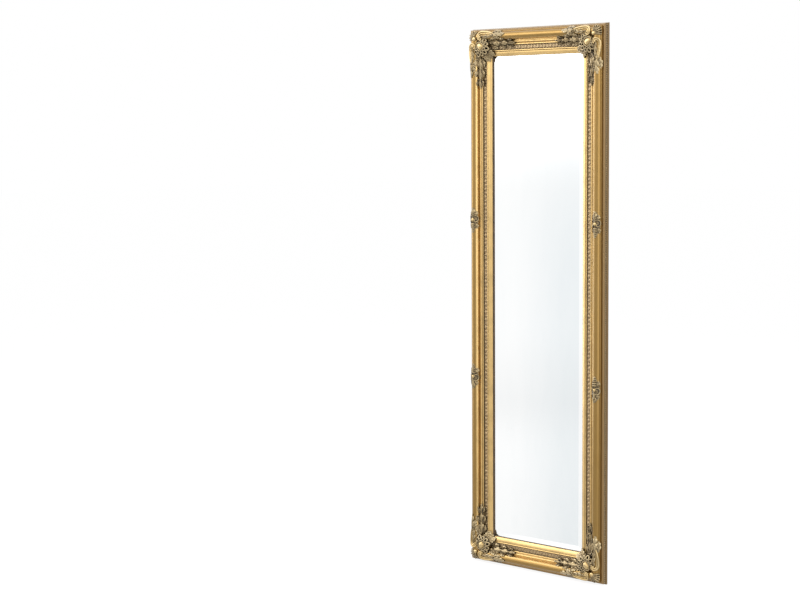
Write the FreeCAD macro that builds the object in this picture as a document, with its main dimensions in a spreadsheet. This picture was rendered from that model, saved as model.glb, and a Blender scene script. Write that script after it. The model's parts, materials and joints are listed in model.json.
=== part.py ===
"""A tall wall mirror: mitred gilt moulding, cast corner and side ornaments, bevelled glass,
backing board and turning hanger rings.

The front faces -Y, +Z is up and +X is right seen from the front. The origin is the middle of
the frame's back plane. Lengths are millimetres.
"""
import FreeCAD, Part
import math
import os

import Sketcher

os.makedirs("parts", exist_ok=True)
document = FreeCAD.newDocument("WallMirror")
Vector = FreeCAD.Vector

# Driving sizes
SIZES = {
    "mirror_width": 500,
    "mirror_height": 1600,
    "moulding_width": 82,
    "moulding_depth": 36.5,
    "rebate_width": 10,
    "rebate_depth": 10.2,
    "fit_clearance": 0.1,
    "cut_overrun": 5,
    "leaf_strip_rise": 1.6,
    "pearl_strip_rise": 2.2,
    "glass_thickness": 4,
    "glass_margin": 1,
    "bevel_width": 25,
    "bevel_drop": 1.8,
    "board_thickness": 3,
    "point_length": 15,
    "point_width": 9,
    "point_thickness": 0.6,
    "point_bite": 6,
    "nail_leg": 7,
    "nail_depth": 10,
    "nail_thickness": 0.8,
    "nail_sink": 0.2,
    "corner_reach": 174,
    "ornament_height": 4.87,
    "ornament_seat": 0.05,
    "side_ornament_length": 80,
    "side_ornament_spacing": 468,
    "hanger_height": 545,
    "hanger_inset": 36,
    "strap_width": 16,
    "strap_length": 46,
    "strap_sheet": 1,
    "ring_wire": 3,
    "ring_width": 26,
    "ring_drop": 19,
    "ring_play": 0.1,
    "screw_pitch": 12,
    "screw_shank": 3.6,
    "screw_length": 14,
    "screw_head": 7.4,
    "screw_head_height": 2,
    "bumper_width": 14,
    "bumper_height": 5,
    "bumper_rise": 60,
}
RING_TILT = 8
EYE_END_TURN = 40
QUARTER_TURN = 90
HALF_TURN = 180
DIAGONAL_TURN = 45

# Outline of the moulding in shares of its width, from the outer edge, and of its depth, from
# the back; the last share of a row is the bulge of the edge that follows, in chords
FOOT_SHARES = [(0.018, 0.0, 0.16), (0.018, 0.26, 0.0)]
PEARL_GROOVE_SHARES = [(0.051, 0.26, 0.0), (0.051, 0.41, 0.0)]
COLLAR_SHARES = [(0.032, 0.41, 0.10), (0.054, 0.60, 0.0)]
ARRIS_SHARES = [(0.11, 0.60, 0.0), (0.11, 0.73, 0.30)]
TORUS_SHARES = [(0.14, 0.75, 0.435), (0.427, 0.663, 0.0), (0.431, 0.553, 0.0)]
FIRST_BEAD_SHARES = [(0.463, 0.553, 0.42), (0.529, 0.553, 0.0)]
SECOND_BEAD_SHARES = [(0.556, 0.532, 0.42), (0.615, 0.532, 0.0)]
CHANNEL_SHARES = [(0.615, 0.44, 0.0), (0.778, 0.44, 0.0)]
THIRD_BEAD_SHARES = [(0.778, 0.51, 0.42), (0.829, 0.51, 0.0)]
SIGHT_SHARES = [(0.846, 0.493, 0.0), (0.846, 0.532, 0.10), (0.982, 0.425, 0.22)]
LIP_SHARE = 0.39

# Cast ornament from the outer corner, in shares of a unit that follows the moulding's width, and of
# the height over the back: each row is a place along and across the rail, a half width, a crest and
# an edge height; what lies beyond the core moves out with the ornament's own reach
CORNER_UNIT_SHARE = 2.122
CORE_SHARE = 0.53
SCROLL_SHARES = [
    (0.368, 0.115, 0.012, 0.90, 0.80), (0.358, 0.150, 0.014, 0.94, 0.84),
    (0.325, 0.166, 0.016, 0.96, 0.86), (0.287, 0.150, 0.017, 0.98, 0.88),
    (0.268, 0.115, 0.018, 0.98, 0.88), (0.288, 0.084, 0.018, 0.94, 0.82),
    (0.330, 0.074, 0.020, 0.90, 0.78), (0.420, 0.080, 0.025, 0.92, 0.80),
    (0.520, 0.090, 0.028, 0.95, 0.82), (0.600, 0.096, 0.022, 0.95, 0.83),
]
EYE_SHARES = (0.330, 0.108, 0.040, 0.94)
EYE_DOME_SHARES = [(1.0, 0.0), (1.0, 0.78), (0.62, 1.0)]
EYE_FLAT_COUNT = 10
TONGUE_LEAF_SHARES = [
    (0.345, 0.130, 0.036, 0.98, 0.80), (0.470, 0.140, 0.062, 1.00, 0.78),
    (0.530, 0.130, 0.050, 0.99, 0.80), (0.580, 0.128, 0.064, 0.98, 0.78),
    (0.640, 0.120, 0.046, 0.97, 0.82), (0.700, 0.112, 0.040, 0.96, 0.82),
    (0.790, 0.105, 0.008, 0.93, 0.86),
]
SPRAY_SHARES = [
    (0.420, 0.284, 0.080, 0.84, 0.62), (0.500, 0.272, 0.092, 0.82, 0.60),
    (0.560, 0.262, 0.068, 0.78, 0.60), (0.620, 0.262, 0.082, 0.77, 0.58),
    (0.680, 0.260, 0.056, 0.74, 0.58), (0.740, 0.262, 0.070, 0.73, 0.57),
    (0.800, 0.258, 0.042, 0.70, 0.57), (0.860, 0.260, 0.052, 0.69, 0.57),
    (0.920, 0.258, 0.028, 0.66, 0.57), (1.000, 0.262, 0.008, 0.62, 0.57),
]
SIDE_LEAF_SHARES = [
    (0.470, 0.270, 0.040, 0.80, 0.66), (0.530, 0.228, 0.044, 0.84, 0.66),
    (0.575, 0.195, 0.010, 0.84, 0.76),
]
GLASS_LEAF_SHARES = [
    (0.350, 0.350, 0.180, 0.84, 0.62), (0.420, 0.420, 0.200, 0.74, 0.54),
    (0.470, 0.470, 0.150, 0.62, 0.48), (0.500, 0.500, 0.090, 0.52, 0.45),
    (0.528, 0.528, 0.030, 0.46, 0.43),
]
BRIDGE_SHARES = [
    (0.450, 0.150, 0.050, 0.94, 0.78), (0.390, 0.225, 0.060, 0.87, 0.68),
    (0.320, 0.300, 0.060, 0.84, 0.66),
]
NECK_SHARES = [
    (0.180, 0.180, 0.040, 0.98, 0.84), (0.250, 0.250, 0.060, 0.96, 0.78),
    (0.310, 0.310, 0.060, 0.94, 0.72),
]
CABOCHON_SHARES = (0.298, 0.077, 0.064, 0.99)
CABOCHON_POINT_SHARE = 0.35
CABOCHON_FLAT_COUNT = 14
DOME_SHARES = [(1.0, 0.0), (1.0, 0.72), (0.86, 0.85), (0.60, 0.95), (0.25, 1.0)]
FAN_CENTRE_SHARE = 0.302
FAN_LOBE_COUNT = 7
FAN_SPREAD = 210
FAN_LOBE_SHARES = [(0.040, 0.030, 0.90, 0.70), (0.120, 0.046, 0.88, 0.64), (0.195, 0.030, 0.70, 0.56)]
SHELL_HINGE_SHARE = 0.212
SHELL_RIB_COUNT = 7
SHELL_SPREAD = 90
SHELL_RIB_SHARES = [(0.0, 0.012, 0.99, 0.86), (0.09, 0.020, 1.00, 0.88), (0.152, 0.024, 0.88, 0.78)]
SHELL_CROWN_SHARE = 0.24
ORNAMENT_FOOT_SHARE = 0.40

# Underside of the castings: flats that touch the moulding's arcs
ARRIS_FLAT_COUNT = 1
TORUS_FLAT_COUNT = 6
SIGHT_FLAT_COUNT = 1

# Side ornament in shares of its own length, and of the casting height, about the torus crest
CREST_SHARE = 0.283
SIDE_TIP_SHARES = [
    (0.000, 0.110, 0.98, 0.80), (0.150, 0.130, 0.99, 0.79), (0.220, 0.085, 0.98, 0.85),
    (0.290, 0.105, 0.97, 0.825), (0.360, 0.060, 0.96, 0.875), (0.430, 0.070, 0.95, 0.87),
    (0.500, 0.015, 0.93, 0.90),
]
SIDE_UNIT_SHARE = 0.976
SIDE_BOSS_SHARES = (0.105, 0.135, 1.0)
SIDE_BOSS_FLAT_COUNT = 12
SIDE_WING_SHARES = [(0.040, 0.080, 0.96, 0.74), (0.130, 0.085, 0.93, 0.70), (0.185, 0.030, 0.84, 0.70)]
SIDE_WING_TURNS = (35, -35, 145, -145)
RING_CORNER_SHARE = 0.25
NAIL_PLACE_SHARES = (0.30, 0.62)
POINT_SPACING_SHARES = {"rail": (-0.3, 0.3), "stile": (-0.42, -0.252, -0.084, 0.084, 0.252, 0.42)}
POINT_SHOULDER_SHARE = 0.4
SCREW_SHANK_SHARES = [(0.1, -1.0), (1.0, -0.7), (1.0, 0.0)]
SCREW_HEAD_SHARES = [(1.0, 0.0), (0.96, 0.35), (0.72, 0.8), (0.3, 1.0)]
SCREW_FLAT_COUNT = 10
WIRE_FLAT_COUNT = 12
BEND_STEP_COUNT = 3
BOW_STEP_COUNT = 12
STRAP_NECK_SHARE = 1.9
BUMPER_SHARES = [(1.0, 0.0), (0.94, 0.8), (0.8, 1.0)]
BUMPER_FLAT_COUNT = 16

sheet = document.addObject("Spreadsheet::Sheet", "Sizes")
for row, (alias, number) in enumerate(SIZES.items(), start=1):
    sheet.set("A%d" % row, alias)
    sheet.set("B%d" % row, str(number))
    sheet.setAlias("B%d" % row, alias)
document.recompute()


class Size:
    """A length with its value and the sheet expression that gives it."""

    def __init__(self, value, text):
        self.value = value
        self.text = text

    def joined(self, other, sign, value):
        text = other.text if isinstance(other, Size) else repr(other)
        return Size(value, "(%s %s %s)" % (self.text, sign, text))

    def __add__(self, other):
        return self.joined(other, "+", self.value + getattr(other, "value", other))

    def __sub__(self, other):
        return self.joined(other, "-", self.value - getattr(other, "value", other))

    def __mul__(self, other):
        return self.joined(other, "*", self.value * getattr(other, "value", other))

    def __truediv__(self, other):
        return self.joined(other, "/", self.value / getattr(other, "value", other))

    def __neg__(self):
        return self * -1

    __radd__ = __add__
    __rmul__ = __mul__


def size(alias):
    """One driving size of the sheet."""
    return Size(float(getattr(sheet, alias)), "Sizes." + alias)


def span(first, second):
    """Straight distance between two outline corners."""
    across = second[0] - first[0]
    along = second[1] - first[1]
    value = math.hypot(across.value, along.value)
    return Size(value, "sqrt(%s * %s + %s * %s)" % (across.text, across.text, along.text, along.text))


ZERO = Size(0.0, "0")
width = size("mirror_width")
height = size("mirror_height")
moulding = size("moulding_width")
depth = size("moulding_depth")
clearance = size("fit_clearance")
overrun = size("cut_overrun")

SIDES = {
    "bottom": (width, Vector(0, 0, 1), ZERO, -height / 2, "rail"),
    "top": (width, Vector(1, 0, 0), ZERO, height / 2, "rail"),
    "left": (height, Vector(1, 0, 1), -width / 2, ZERO, "stile"),
    "right": (height, Vector(1, 0, -1), width / 2, ZERO, "stile"),
}
CORNERS = {
    "bottom_left": (-1, -1),
    "bottom_right": (1, -1),
    "top_left": (-1, 1),
    "top_right": (1, 1),
}
solids = []


def plane_of(body, role):
    """One of the body's own origin planes."""
    return next(item for item in body.Origin.OriginFeatures if item.Role == role)


def bind(thing, path, length):
    """Bind one property of an object to the sheet."""
    thing.setExpression(path, length.text)


def draw(body, name, role, outline, offset=None):
    """Sketch a closed outline of (x, y, bulge) corners on one of the body's planes.

    An edge with a bulge is an arc that leaves its chord to the right of the way round.
    """
    drawing = body.newObject("Sketcher::SketchObject", name)
    drawing.AttachmentSupport = (plane_of(body, role), [""])
    drawing.MapMode = "FlatFace"
    if offset is not None:
        bind(drawing, "AttachmentOffset.Base.z", offset)
    spots = [Vector(corner[0].value, corner[1].value, 0) for corner in outline]
    count = len(outline)
    starts = []
    for index, (here, there) in enumerate(zip(spots, spots[1:] + spots[:1])):
        bulge = outline[index][2]
        if bulge:
            chord = there - here
            middle = (here + there) * 0.5 + Vector(chord.y, -chord.x, 0) * bulge
            drawing.addGeometry(Part.Arc(here, middle, there), False)
        else:
            drawing.addGeometry(Part.LineSegment(here, there), False)
        begun = (drawing.getPoint(index, 1) - here).Length
        ended = (drawing.getPoint(index, 2) - here).Length
        starts.append(1 if begun < ended else 2)
    for index in range(count):
        follower = (index + 1) % count
        joint = Sketcher.Constraint("Coincident", index, 3 - starts[index], follower, starts[follower])
        drawing.addConstraint(joint)
    for index, corner in enumerate(outline):
        for kind, axis, length in (("DistanceX", -2, corner[0]), ("DistanceY", -1, corner[1])):
            if length.value == 0:
                drawing.addConstraint(Sketcher.Constraint("PointOnObject", index, starts[index], axis))
                continue
            held = Sketcher.Constraint(kind, -1, 1, index, starts[index], length.value)
            number = drawing.addConstraint(held)
            bind(drawing, "Constraints[%d]" % number, length)
        if corner[2]:
            chord = span(corner, outline[(index + 1) % count])
            radius = chord * (1 / (8 * corner[2]) + corner[2] / 2)
            number = drawing.addConstraint(Sketcher.Constraint("Radius", index, radius.value))
            bind(drawing, "Constraints[%d]" % number, radius)
    return drawing


def draw_circle(body, name, role, centre, diameter):
    """Sketch one circle on one of the body's planes."""
    drawing = body.newObject("Sketcher::SketchObject", name)
    drawing.AttachmentSupport = (plane_of(body, role), [""])
    drawing.MapMode = "FlatFace"
    spot = Vector(centre[0].value, centre[1].value, 0)
    drawing.addGeometry(Part.Circle(spot, Vector(0, 0, 1), diameter.value / 2), False)
    for kind, axis, length in (("DistanceX", -2, centre[0]), ("DistanceY", -1, centre[1])):
        if length.value == 0:
            drawing.addConstraint(Sketcher.Constraint("PointOnObject", 0, 3, axis))
        else:
            number = drawing.addConstraint(Sketcher.Constraint(kind, -1, 1, 0, 3, length.value))
            bind(drawing, "Constraints[%d]" % number, length)
    number = drawing.addConstraint(Sketcher.Constraint("Diameter", 0, diameter.value))
    bind(drawing, "Constraints[%d]" % number, diameter)
    return drawing


def pad(body, name, drawing, length, symmetric=False):
    """Pad a sketch by a bound length."""
    feature = body.newObject("PartDesign::Pad", name)
    feature.Profile = drawing
    if symmetric:
        feature.SideType = "Symmetric"
    bind(feature, "Length", length)
    return feature


def pocket(body, name, drawing):
    """Cut a sketch right through, both ways."""
    feature = body.newObject("PartDesign::Pocket", name)
    feature.Profile = drawing
    feature.SideType = "Symmetric"
    feature.Type = "ThroughAll"
    return feature


def place(thing, across, rise, back=ZERO):
    """Bind the place of a finished object."""
    for letter, length in (("x", across), ("y", back), ("z", rise)):
        bind(thing, "Placement.Base." + letter, length)


def mitred(label, side, outline):
    """A length of section along one side of the frame, cut at both ends to the mitre."""
    length, turn, across, rise, _ = SIDES[side]
    body = document.addObject("PartDesign::Body", label)
    pad(body, label + "_length", draw(body, label + "_section", "YZ_Plane", outline), length, True)
    document.recompute()
    whole = body.Shape.Volume
    beyond = moulding + overrun
    wedge = [
        (length / 2, ZERO, 0),
        (length / 2 + overrun, beyond, 0),
        (length / 2 - beyond, beyond, 0),
    ]
    cut = pocket(body, label + "_mitre", draw(body, label + "_wedge", "XZ_Plane", wedge))
    mirrored = body.newObject("PartDesign::Mirrored", label + "_other_mitre")
    mirrored.Originals = [cut]
    mirrored.MirrorPlane = (plane_of(body, "YZ_Plane"), [""])
    body.Tip = mirrored
    body.Placement = FreeCAD.Placement(Vector(), FreeCAD.Rotation(turn, HALF_TURN))
    place(body, across, rise)
    document.recompute()
    if body.Shape.Volume >= whole:
        raise RuntimeError(label + " was not mitred")
    solids.append(body)
    return body


def moulding_corners(*groups):
    """Corners of the section as (height, distance from the outer edge, bulge)."""
    return [(depth * rise, moulding * across, bulge) for group in groups for across, rise, bulge in group]


# Moulding
section = moulding_corners(
    FOOT_SHARES, PEARL_GROOVE_SHARES, COLLAR_SHARES, ARRIS_SHARES, TORUS_SHARES,
    FIRST_BEAD_SHARES, SECOND_BEAD_SHARES, CHANNEL_SHARES, THIRD_BEAD_SHARES, SIGHT_SHARES,
)
rebate_wall = moulding - size("rebate_width")
section += [
    (depth * LIP_SHARE, moulding, 0),
    (size("rebate_depth"), moulding, 0),
    (size("rebate_depth"), rebate_wall, 0),
    (ZERO, rebate_wall, 0),
]
for side, facts in SIDES.items():
    mitred("%s_%s" % (side, facts[4]), side, section)

# Pressed leaf strips in the channel and pearl strips in the side groove
channel_floor = depth * CHANNEL_SHARES[0][1]
leaf_outer = moulding * CHANNEL_SHARES[0][0] + clearance
leaf_inner = moulding * CHANNEL_SHARES[1][0] - clearance
leaf_bulge_share = 0.13
leaf_section = [
    (channel_floor, leaf_outer, 0),
    (channel_floor + size("leaf_strip_rise"), leaf_outer, leaf_bulge_share),
    (channel_floor + size("leaf_strip_rise"), leaf_inner, 0),
    (channel_floor, leaf_inner, 0),
]
pearl_floor = moulding * PEARL_GROOVE_SHARES[0][0]
pearl_low = depth * PEARL_GROOVE_SHARES[0][1] + clearance
pearl_high = depth * PEARL_GROOVE_SHARES[1][1] - clearance
pearl_face = pearl_floor - size("pearl_strip_rise")
pearl_bulge_share = 0.24
pearl_section = [
    (pearl_low, pearl_floor, 0),
    (pearl_low, pearl_face, pearl_bulge_share),
    (pearl_high, pearl_face, 0),
    (pearl_high, pearl_floor, 0),
]
for side in SIDES:
    mitred("leaf_strip_" + side, side, leaf_section)
    mitred("pearl_strip_" + side, side, pearl_section)


# Glass and backing board
def plate(label, across, upright, thickness, front):
    """A rectangular plate on the bottom rebate with its front at a height over the back plane."""
    body = document.addObject("PartDesign::Body", label)
    drawing = draw(body, label + "_outline", "XZ_Plane", rectangle(across, upright))
    pad(body, label + "_sheet", drawing, thickness)
    place(body, ZERO, -size("glass_margin"), thickness - front)
    solids.append(body)
    return body


def rectangle(across, upright):
    """Corners of a rectangle about the middle."""
    return [
        (-across / 2, -upright / 2, 0),
        (across / 2, -upright / 2, 0),
        (across / 2, upright / 2, 0),
        (-across / 2, upright / 2, 0),
    ]


margin = size("glass_margin")
glass_width = width - rebate_wall * 2 - margin * 2
glass_height = height - rebate_wall * 2 - margin * 2
lap = size("rebate_width") - margin
bevel = size("bevel_width")
drop = size("bevel_drop")
edge = size("glass_thickness") - drop
glass_front = size("rebate_depth") + drop * (bevel - lap) / bevel - clearance
glass = plate("mirror_glass", glass_width, glass_height, edge, glass_front - drop)
outer_line = draw(glass, "bevel_outer", "XZ_Plane", rectangle(glass_width, glass_height), edge)
inner_line = draw(
    glass, "bevel_inner", "XZ_Plane",
    rectangle(glass_width - bevel * 2, glass_height - bevel * 2), size("glass_thickness"),
)
bevels = glass.newObject("PartDesign::AdditiveLoft", "bevels")
bevels.Profile = outer_line
bevels.Sections = [inner_line]
bevels.Ruled = True
glass.Tip = bevels
board_front = glass_front - size("glass_thickness")
plate("backing_board", glass_width, glass_height, size("board_thickness"), board_front)
document.recompute()


# Groups of small fasteners
def cast(label, shape):
    """Add a finished shape as its own object."""
    item = document.addObject("Part::Feature", label)
    item.Shape = shape
    solids.append(item)
    return item


def prism(spots, low, high):
    """An upright block over an outline in the plane of the frame, between two heights."""
    loop = [Vector(spot[0], -low, spot[1]) for spot in spots]
    return Part.Face(Part.makePolygon(loop + loop[:1])).extrude(Vector(0, low - high, 0))


def oval(flats, along, across):
    """Corners of an oval of flats in the plane of the frame."""
    turns = [2 * math.pi * step / flats for step in range(flats)]
    return [(along * math.cos(turn), across * math.sin(turn)) for turn in turns]


def turned(outline, rows, centre=(0, 0)):
    """A solid of flats through rows of (share of an outline's width, height over the back plane)."""
    loops = []
    for share, rise in rows:
        spots = [(centre[0] + across * share, centre[1] + up * share) for across, up in outline]
        loops.append([Vector(across, -rise, up) for across, up in spots])
    return skinned(loops)


def skinned(loops):
    """A solid of flats through loops of as many corners each."""
    faces = [loops[0], loops[-1]]
    for near, far in zip(loops, loops[1:]):
        for index in range(len(near)):
            faces.append([near[index - 1], near[index], far[index], far[index - 1]])
    return closed(faces)


def closed(faces):
    """The solid inside flat faces given by their corners."""
    solid = Part.makeSolid(Part.makeShell([Part.Face(Part.makePolygon(face + face[:1])) for face in faces]))
    if solid.Volume < 0:
        solid.reverse()
    return solid


def backing_point(side, share):
    """A driven point with its tip in the rebate wall and its tail over the backing board."""
    length, turn, across, rise, _ = SIDES[side]
    half = size("point_width").value / 2
    tip = rebate_wall.value - size("point_bite").value
    shoulder = tip + size("point_bite").value * POINT_SHOULDER_SHARE
    tail = tip + size("point_length").value
    middle = length.value * share
    spots = [(middle, tip), (middle + half, shoulder), (middle + half, tail), (middle - half, tail),
             (middle - half, shoulder)]
    top = (board_front - size("board_thickness")).value
    low = top - size("point_thickness").value
    block = prism(spots, -low, -top)
    turned = FreeCAD.Placement(Vector(across.value, 0, rise.value), FreeCAD.Rotation(turn, HALF_TURN))
    block.Placement = turned
    return block


cast("backing_points", Part.makeCompound([
    backing_point(side, share) for side, facts in SIDES.items() for share in POINT_SPACING_SHARES[facts[4]]
]))


def corner_nail(corner, share):
    """A right-angled nail across the mitre with one leg in each length of moulding."""
    across, up = CORNERS[corner]
    bend = moulding.value * share
    leg = bend + size("nail_leg").value
    inside = bend + size("nail_thickness").value
    spots = [(bend, bend), (leg, bend), (leg, inside), (inside, inside), (inside, leg), (bend, leg)]
    spots = [(across * (width.value / 2 - a), up * (height.value / 2 - b)) for a, b in spots]
    low = size("nail_sink").value
    return prism(spots, low, low + size("nail_depth").value)


cast("corner_nails", Part.makeCompound([
    corner_nail(corner, share) for corner in CORNERS for share in NAIL_PLACE_SHARES
]))


# Hangers
hanger_across = width / 2 - size("hanger_inset")
wire = size("ring_wire")
gauge = size("strap_sheet")
bore = wire + size("ring_play") * 2
eye = bore / 2 + gauge
strap_length = size("strap_length")
lower_screw = strap_length - size("screw_pitch") / 2
upper_screw = lower_screw - size("screw_pitch")


def hanger_strap(side, hand):
    """A strip folded round the ring's bar, with both layers screwed to the stile."""
    label = "hanger_strap_" + side
    body = document.addObject("PartDesign::Body", label)
    end = math.radians(EYE_END_TURN)
    half_sweep = (math.pi + end) / 2
    eye_bulge = (1 - math.cos(half_sweep)) / (2 * math.sin(half_sweep))
    outline = [
        (gauge * 2, -strap_length, 0),
        (gauge * 2, -eye * STRAP_NECK_SHARE, 0),
        (eye * (1 + math.cos(end)), -eye * math.sin(end), eye_bulge),
        (ZERO, ZERO, 0),
        (ZERO, -strap_length, 0),
    ]
    section = draw(body, label + "_section", "YZ_Plane", outline)
    pad(body, label + "_strip", section, size("strap_width"), True)
    pocket(body, label + "_eye", draw_circle(body, label + "_bore", "YZ_Plane", (eye, ZERO), bore))
    hole = size("screw_shank") + clearance * 2
    for name, down in (("_upper", upper_screw), ("_lower", lower_screw)):
        ring = draw_circle(body, label + name + "_ring", "XZ_Plane", (ZERO, -down), hole)
        pocket(body, label + name + "_hole", ring)
    place(body, hanger_across * hand, size("hanger_height"))
    solids.append(body)


def hanger_ring(side, hand):
    """A bent wire ring: a straight bar in the strap's eye and a round bow that hangs below."""
    half = ((size("ring_width") - wire) / 2).value
    bend = half * RING_CORNER_SHARE
    leg = size("ring_drop").value - half
    inner = half - bend
    radius = wire.value / 2
    loops = []
    for across, down, sweep, start, end, steps in (
        (-inner, bend, bend, QUARTER_TURN, HALF_TURN, BEND_STEP_COUNT),
        (0, leg, half, HALF_TURN, 2 * HALF_TURN, BOW_STEP_COUNT),
        (inner, bend, bend, 0, QUARTER_TURN, BEND_STEP_COUNT),
    ):
        for step in range(steps + 1):
            turn = math.radians(start + (end - start) * step / steps)
            away = Vector(math.cos(turn), 0, math.sin(turn))
            middle = Vector(across, 0, -down) + away * sweep
            section = oval(WIRE_FLAT_COUNT, radius, radius)
            loops.append([middle + away * out + Vector(0, deep, 0) for out, deep in section])
    bar = Part.makeCylinder(radius, 2 * inner, Vector(-inner, 0, 0), Vector(1, 0, 0))
    item = cast("hanger_ring_" + side, bar.fuse(skinned(loops)).removeSplitter())
    item.Placement = FreeCAD.Placement(Vector(), FreeCAD.Rotation(Vector(1, 0, 0), RING_TILT))
    place(item, hanger_across * hand, size("hanger_height"), eye)


def hanger_screw(hand, down):
    """A round-headed screw through a strap into the stile."""
    head = size("screw_head").value / 2
    shank = size("screw_shank").value / 2
    seat = (gauge * 2).value
    below = seat + size("screw_length").value
    rows = [(share * shank / head, seat + below * rise) for share, rise in SCREW_SHANK_SHARES]
    rows += [(share, seat + size("screw_head_height").value * rise) for share, rise in SCREW_HEAD_SHARES]
    spot = (hanger_across.value * hand, (size("hanger_height") - down).value)
    return turned(oval(SCREW_FLAT_COUNT, head, head), [(share, -rise) for share, rise in rows], spot)


HANDS = {"left": -1, "right": 1}
for side, hand in HANDS.items():
    hanger_strap(side, hand)
    hanger_ring(side, hand)
cast("hanger_screws", Part.makeCompound([
    hanger_screw(hand, down) for hand in HANDS.values() for down in (upper_screw, lower_screw)
]))


# Bumpers at the foot of the back
def bumper(hand):
    """A soft tapered pad that keeps the foot of the frame off the wall."""
    radius = size("bumper_width").value / 2
    rows = [(share, -size("bumper_height").value * rise) for share, rise in BUMPER_SHARES]
    spot = (hanger_across.value * hand, size("bumper_rise").value - height.value / 2)
    return turned(oval(BUMPER_FLAT_COUNT, radius, radius), rows, spot)


cast("wall_bumpers", Part.makeCompound([bumper(hand) for hand in HANDS.values()]))


# Cast ornaments
def carved(rows, foot):
    """A ridge of flat cuts along a line of (along, across, half width, crest, edge) rows."""
    spots = [Vector(row[0], row[1], 0) for row in rows]
    lines = []
    for index, (along, across, half, crest, rim) in enumerate(rows):
        ahead = spots[min(index + 1, len(spots) - 1)] - spots[max(index - 1, 0)]
        ahead.normalize()
        left = Vector(along - ahead.y * half, across + ahead.x * half, 0)
        right = Vector(along + ahead.y * half, across - ahead.x * half, 0)
        lines.append([
            Vector(left.x, -foot, left.y), Vector(left.x, -rim, left.y), Vector(along, -crest, across),
            Vector(right.x, -rim, right.y), Vector(right.x, -foot, right.y),
        ])
    faces = []
    for near, far in zip(lines, lines[1:]):
        for first, second in ((0, 1), (3, 4), (4, 0)):
            faces.append([near[first], near[second], far[second], far[first]])
        for first, second in ((1, 2), (2, 3)):
            faces.append([near[first], near[second], far[second]])
            faces.append([near[first], far[second], far[first]])
    faces += [lines[0], lines[-1]]
    return closed(faces)


def rayed(centre, turn, shares, units, tall):
    """Rows of a lobe that leaves a centre at an angle, with a unit each way."""
    ahead = (math.cos(math.radians(turn)), math.sin(math.radians(turn)))
    return [
        (centre[0] + ahead[0] * out * units[0], centre[1] + ahead[1] * out * units[1], half * units[0],
         crest * tall, rim * tall)
        for out, half, crest, rim in shares
    ]


def armed(shares, unit, stretch, tall):
    """Rows of a ridge at its real size, stretched along the rail beyond the core."""
    rows = []
    for along, across, half, crest, rim in shares:
        beyond = max(0, along - CORE_SHARE) / (1 - CORE_SHARE)
        rows.append((along * unit + stretch * beyond, across * unit, half * unit, crest * tall, rim * tall))
    return rows


def both_ways(rows):
    """Rows as they are and mirrored in the mitre."""
    return [rows, [(row[1], row[0]) + tuple(row[2:]) for row in rows]]


def seated(pieces, grounds):
    """One casting out of its pieces, cut away below to sit on what carries it."""
    whole = pieces[0].multiFuse(pieces[1:])
    for ground in grounds:
        whole = whole.cut(ground)
    if len(whole.Solids) > 1:
        raise RuntimeError("a casting fell into %d pieces" % len(whole.Solids))
    return whole.Solids[0].removeSplitter()


def section_spot(row):
    """A corner of the moulding's section as (distance from the outer edge, height over the back)."""
    return Vector(row[0] * moulding.value, row[1] * depth.value, 0)


def arc_circle(row, following):
    """Centre and radius of an arc of the section, and the directions along and away from its chord."""
    start = section_spot(row)
    end = section_spot(following)
    chord = end - start
    ahead = Vector(chord).normalize()
    lift = Vector(-ahead.y, ahead.x, 0)
    radius = chord.Length * (1 / (8 * row[2]) + row[2] / 2)
    centre = (start + end) * 0.5 + lift * (chord.Length * row[2] - radius)
    return centre, radius, ahead, lift


def arc_flats(row, following, count):
    """Corners of flats that touch an arc of the section from the front, with the arc's ends."""
    start = section_spot(row)
    end = section_spot(following)
    centre, radius, ahead, lift = arc_circle(row, following)
    half = math.asin((end - start).Length / (2 * radius))
    step = 2 * half / count
    reach = radius / math.cos(step / 2)
    turns = [half - step * (index + 0.5) for index in range(count)]
    corners = [centre + (lift * math.cos(turn) - ahead * math.sin(turn)) * reach for turn in turns]
    return [start] + corners + [end]


def bead_tops():
    """The highest lines of the three beads."""
    tops = []
    for first, second in (FIRST_BEAD_SHARES, SECOND_BEAD_SHARES, THIRD_BEAD_SHARES):
        start = section_spot(first)
        end = section_spot(second)
        tops.append((start + end) * 0.5 + Vector(0, (end - start).Length * first[2], 0))
    return tops


def ground(side):
    """Flat-sided body over one length of moulding that its castings are cut to."""
    length, turn, across, rise, _ = SIDES[side]
    half = length.value / 2
    torus = arc_flats(TORUS_SHARES[0], TORUS_SHARES[1], TORUS_FLAT_COUNT)
    beads = bead_tops()
    line = [Vector(0, section_spot(ARRIS_SHARES[0]).y, 0), section_spot(ARRIS_SHARES[0])]
    line += arc_flats(ARRIS_SHARES[1], TORUS_SHARES[0], ARRIS_FLAT_COUNT)[:-1] + torus
    line += [Vector(section_spot(FIRST_BEAD_SHARES[0]).x, beads[0].y, 0)] + beads
    line += [Vector(section_spot(SIGHT_SHARES[1]).x, beads[2].y, 0)]
    line += arc_flats(SIGHT_SHARES[1], SIGHT_SHARES[2], SIGHT_FLAT_COUNT)[1:]
    line += [Vector(moulding.value, section_spot(SIGHT_SHARES[2]).y, 0)]
    seat = Vector(0, size("ornament_seat").value, 0)
    line = [Vector()] + [spot + seat for spot in line] + [Vector(moulding.value, 0, 0)]
    loop = [Vector(-half, spot.y, spot.x) for spot in line]
    body = Part.Face(Part.makePolygon(loop + loop[:1])).extrude(Vector(2 * half, 0, 0))
    inner = half - moulding.value
    corners = [(-half, 0), (half, 0), (inner, moulding.value), (-inner, moulding.value)]
    body = body.common(prism(corners, 0, -casting_top))
    body.Placement = FreeCAD.Placement(
        Vector(across.value, 0, rise.value), FreeCAD.Rotation(turn, HALF_TURN)
    )
    return body


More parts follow.
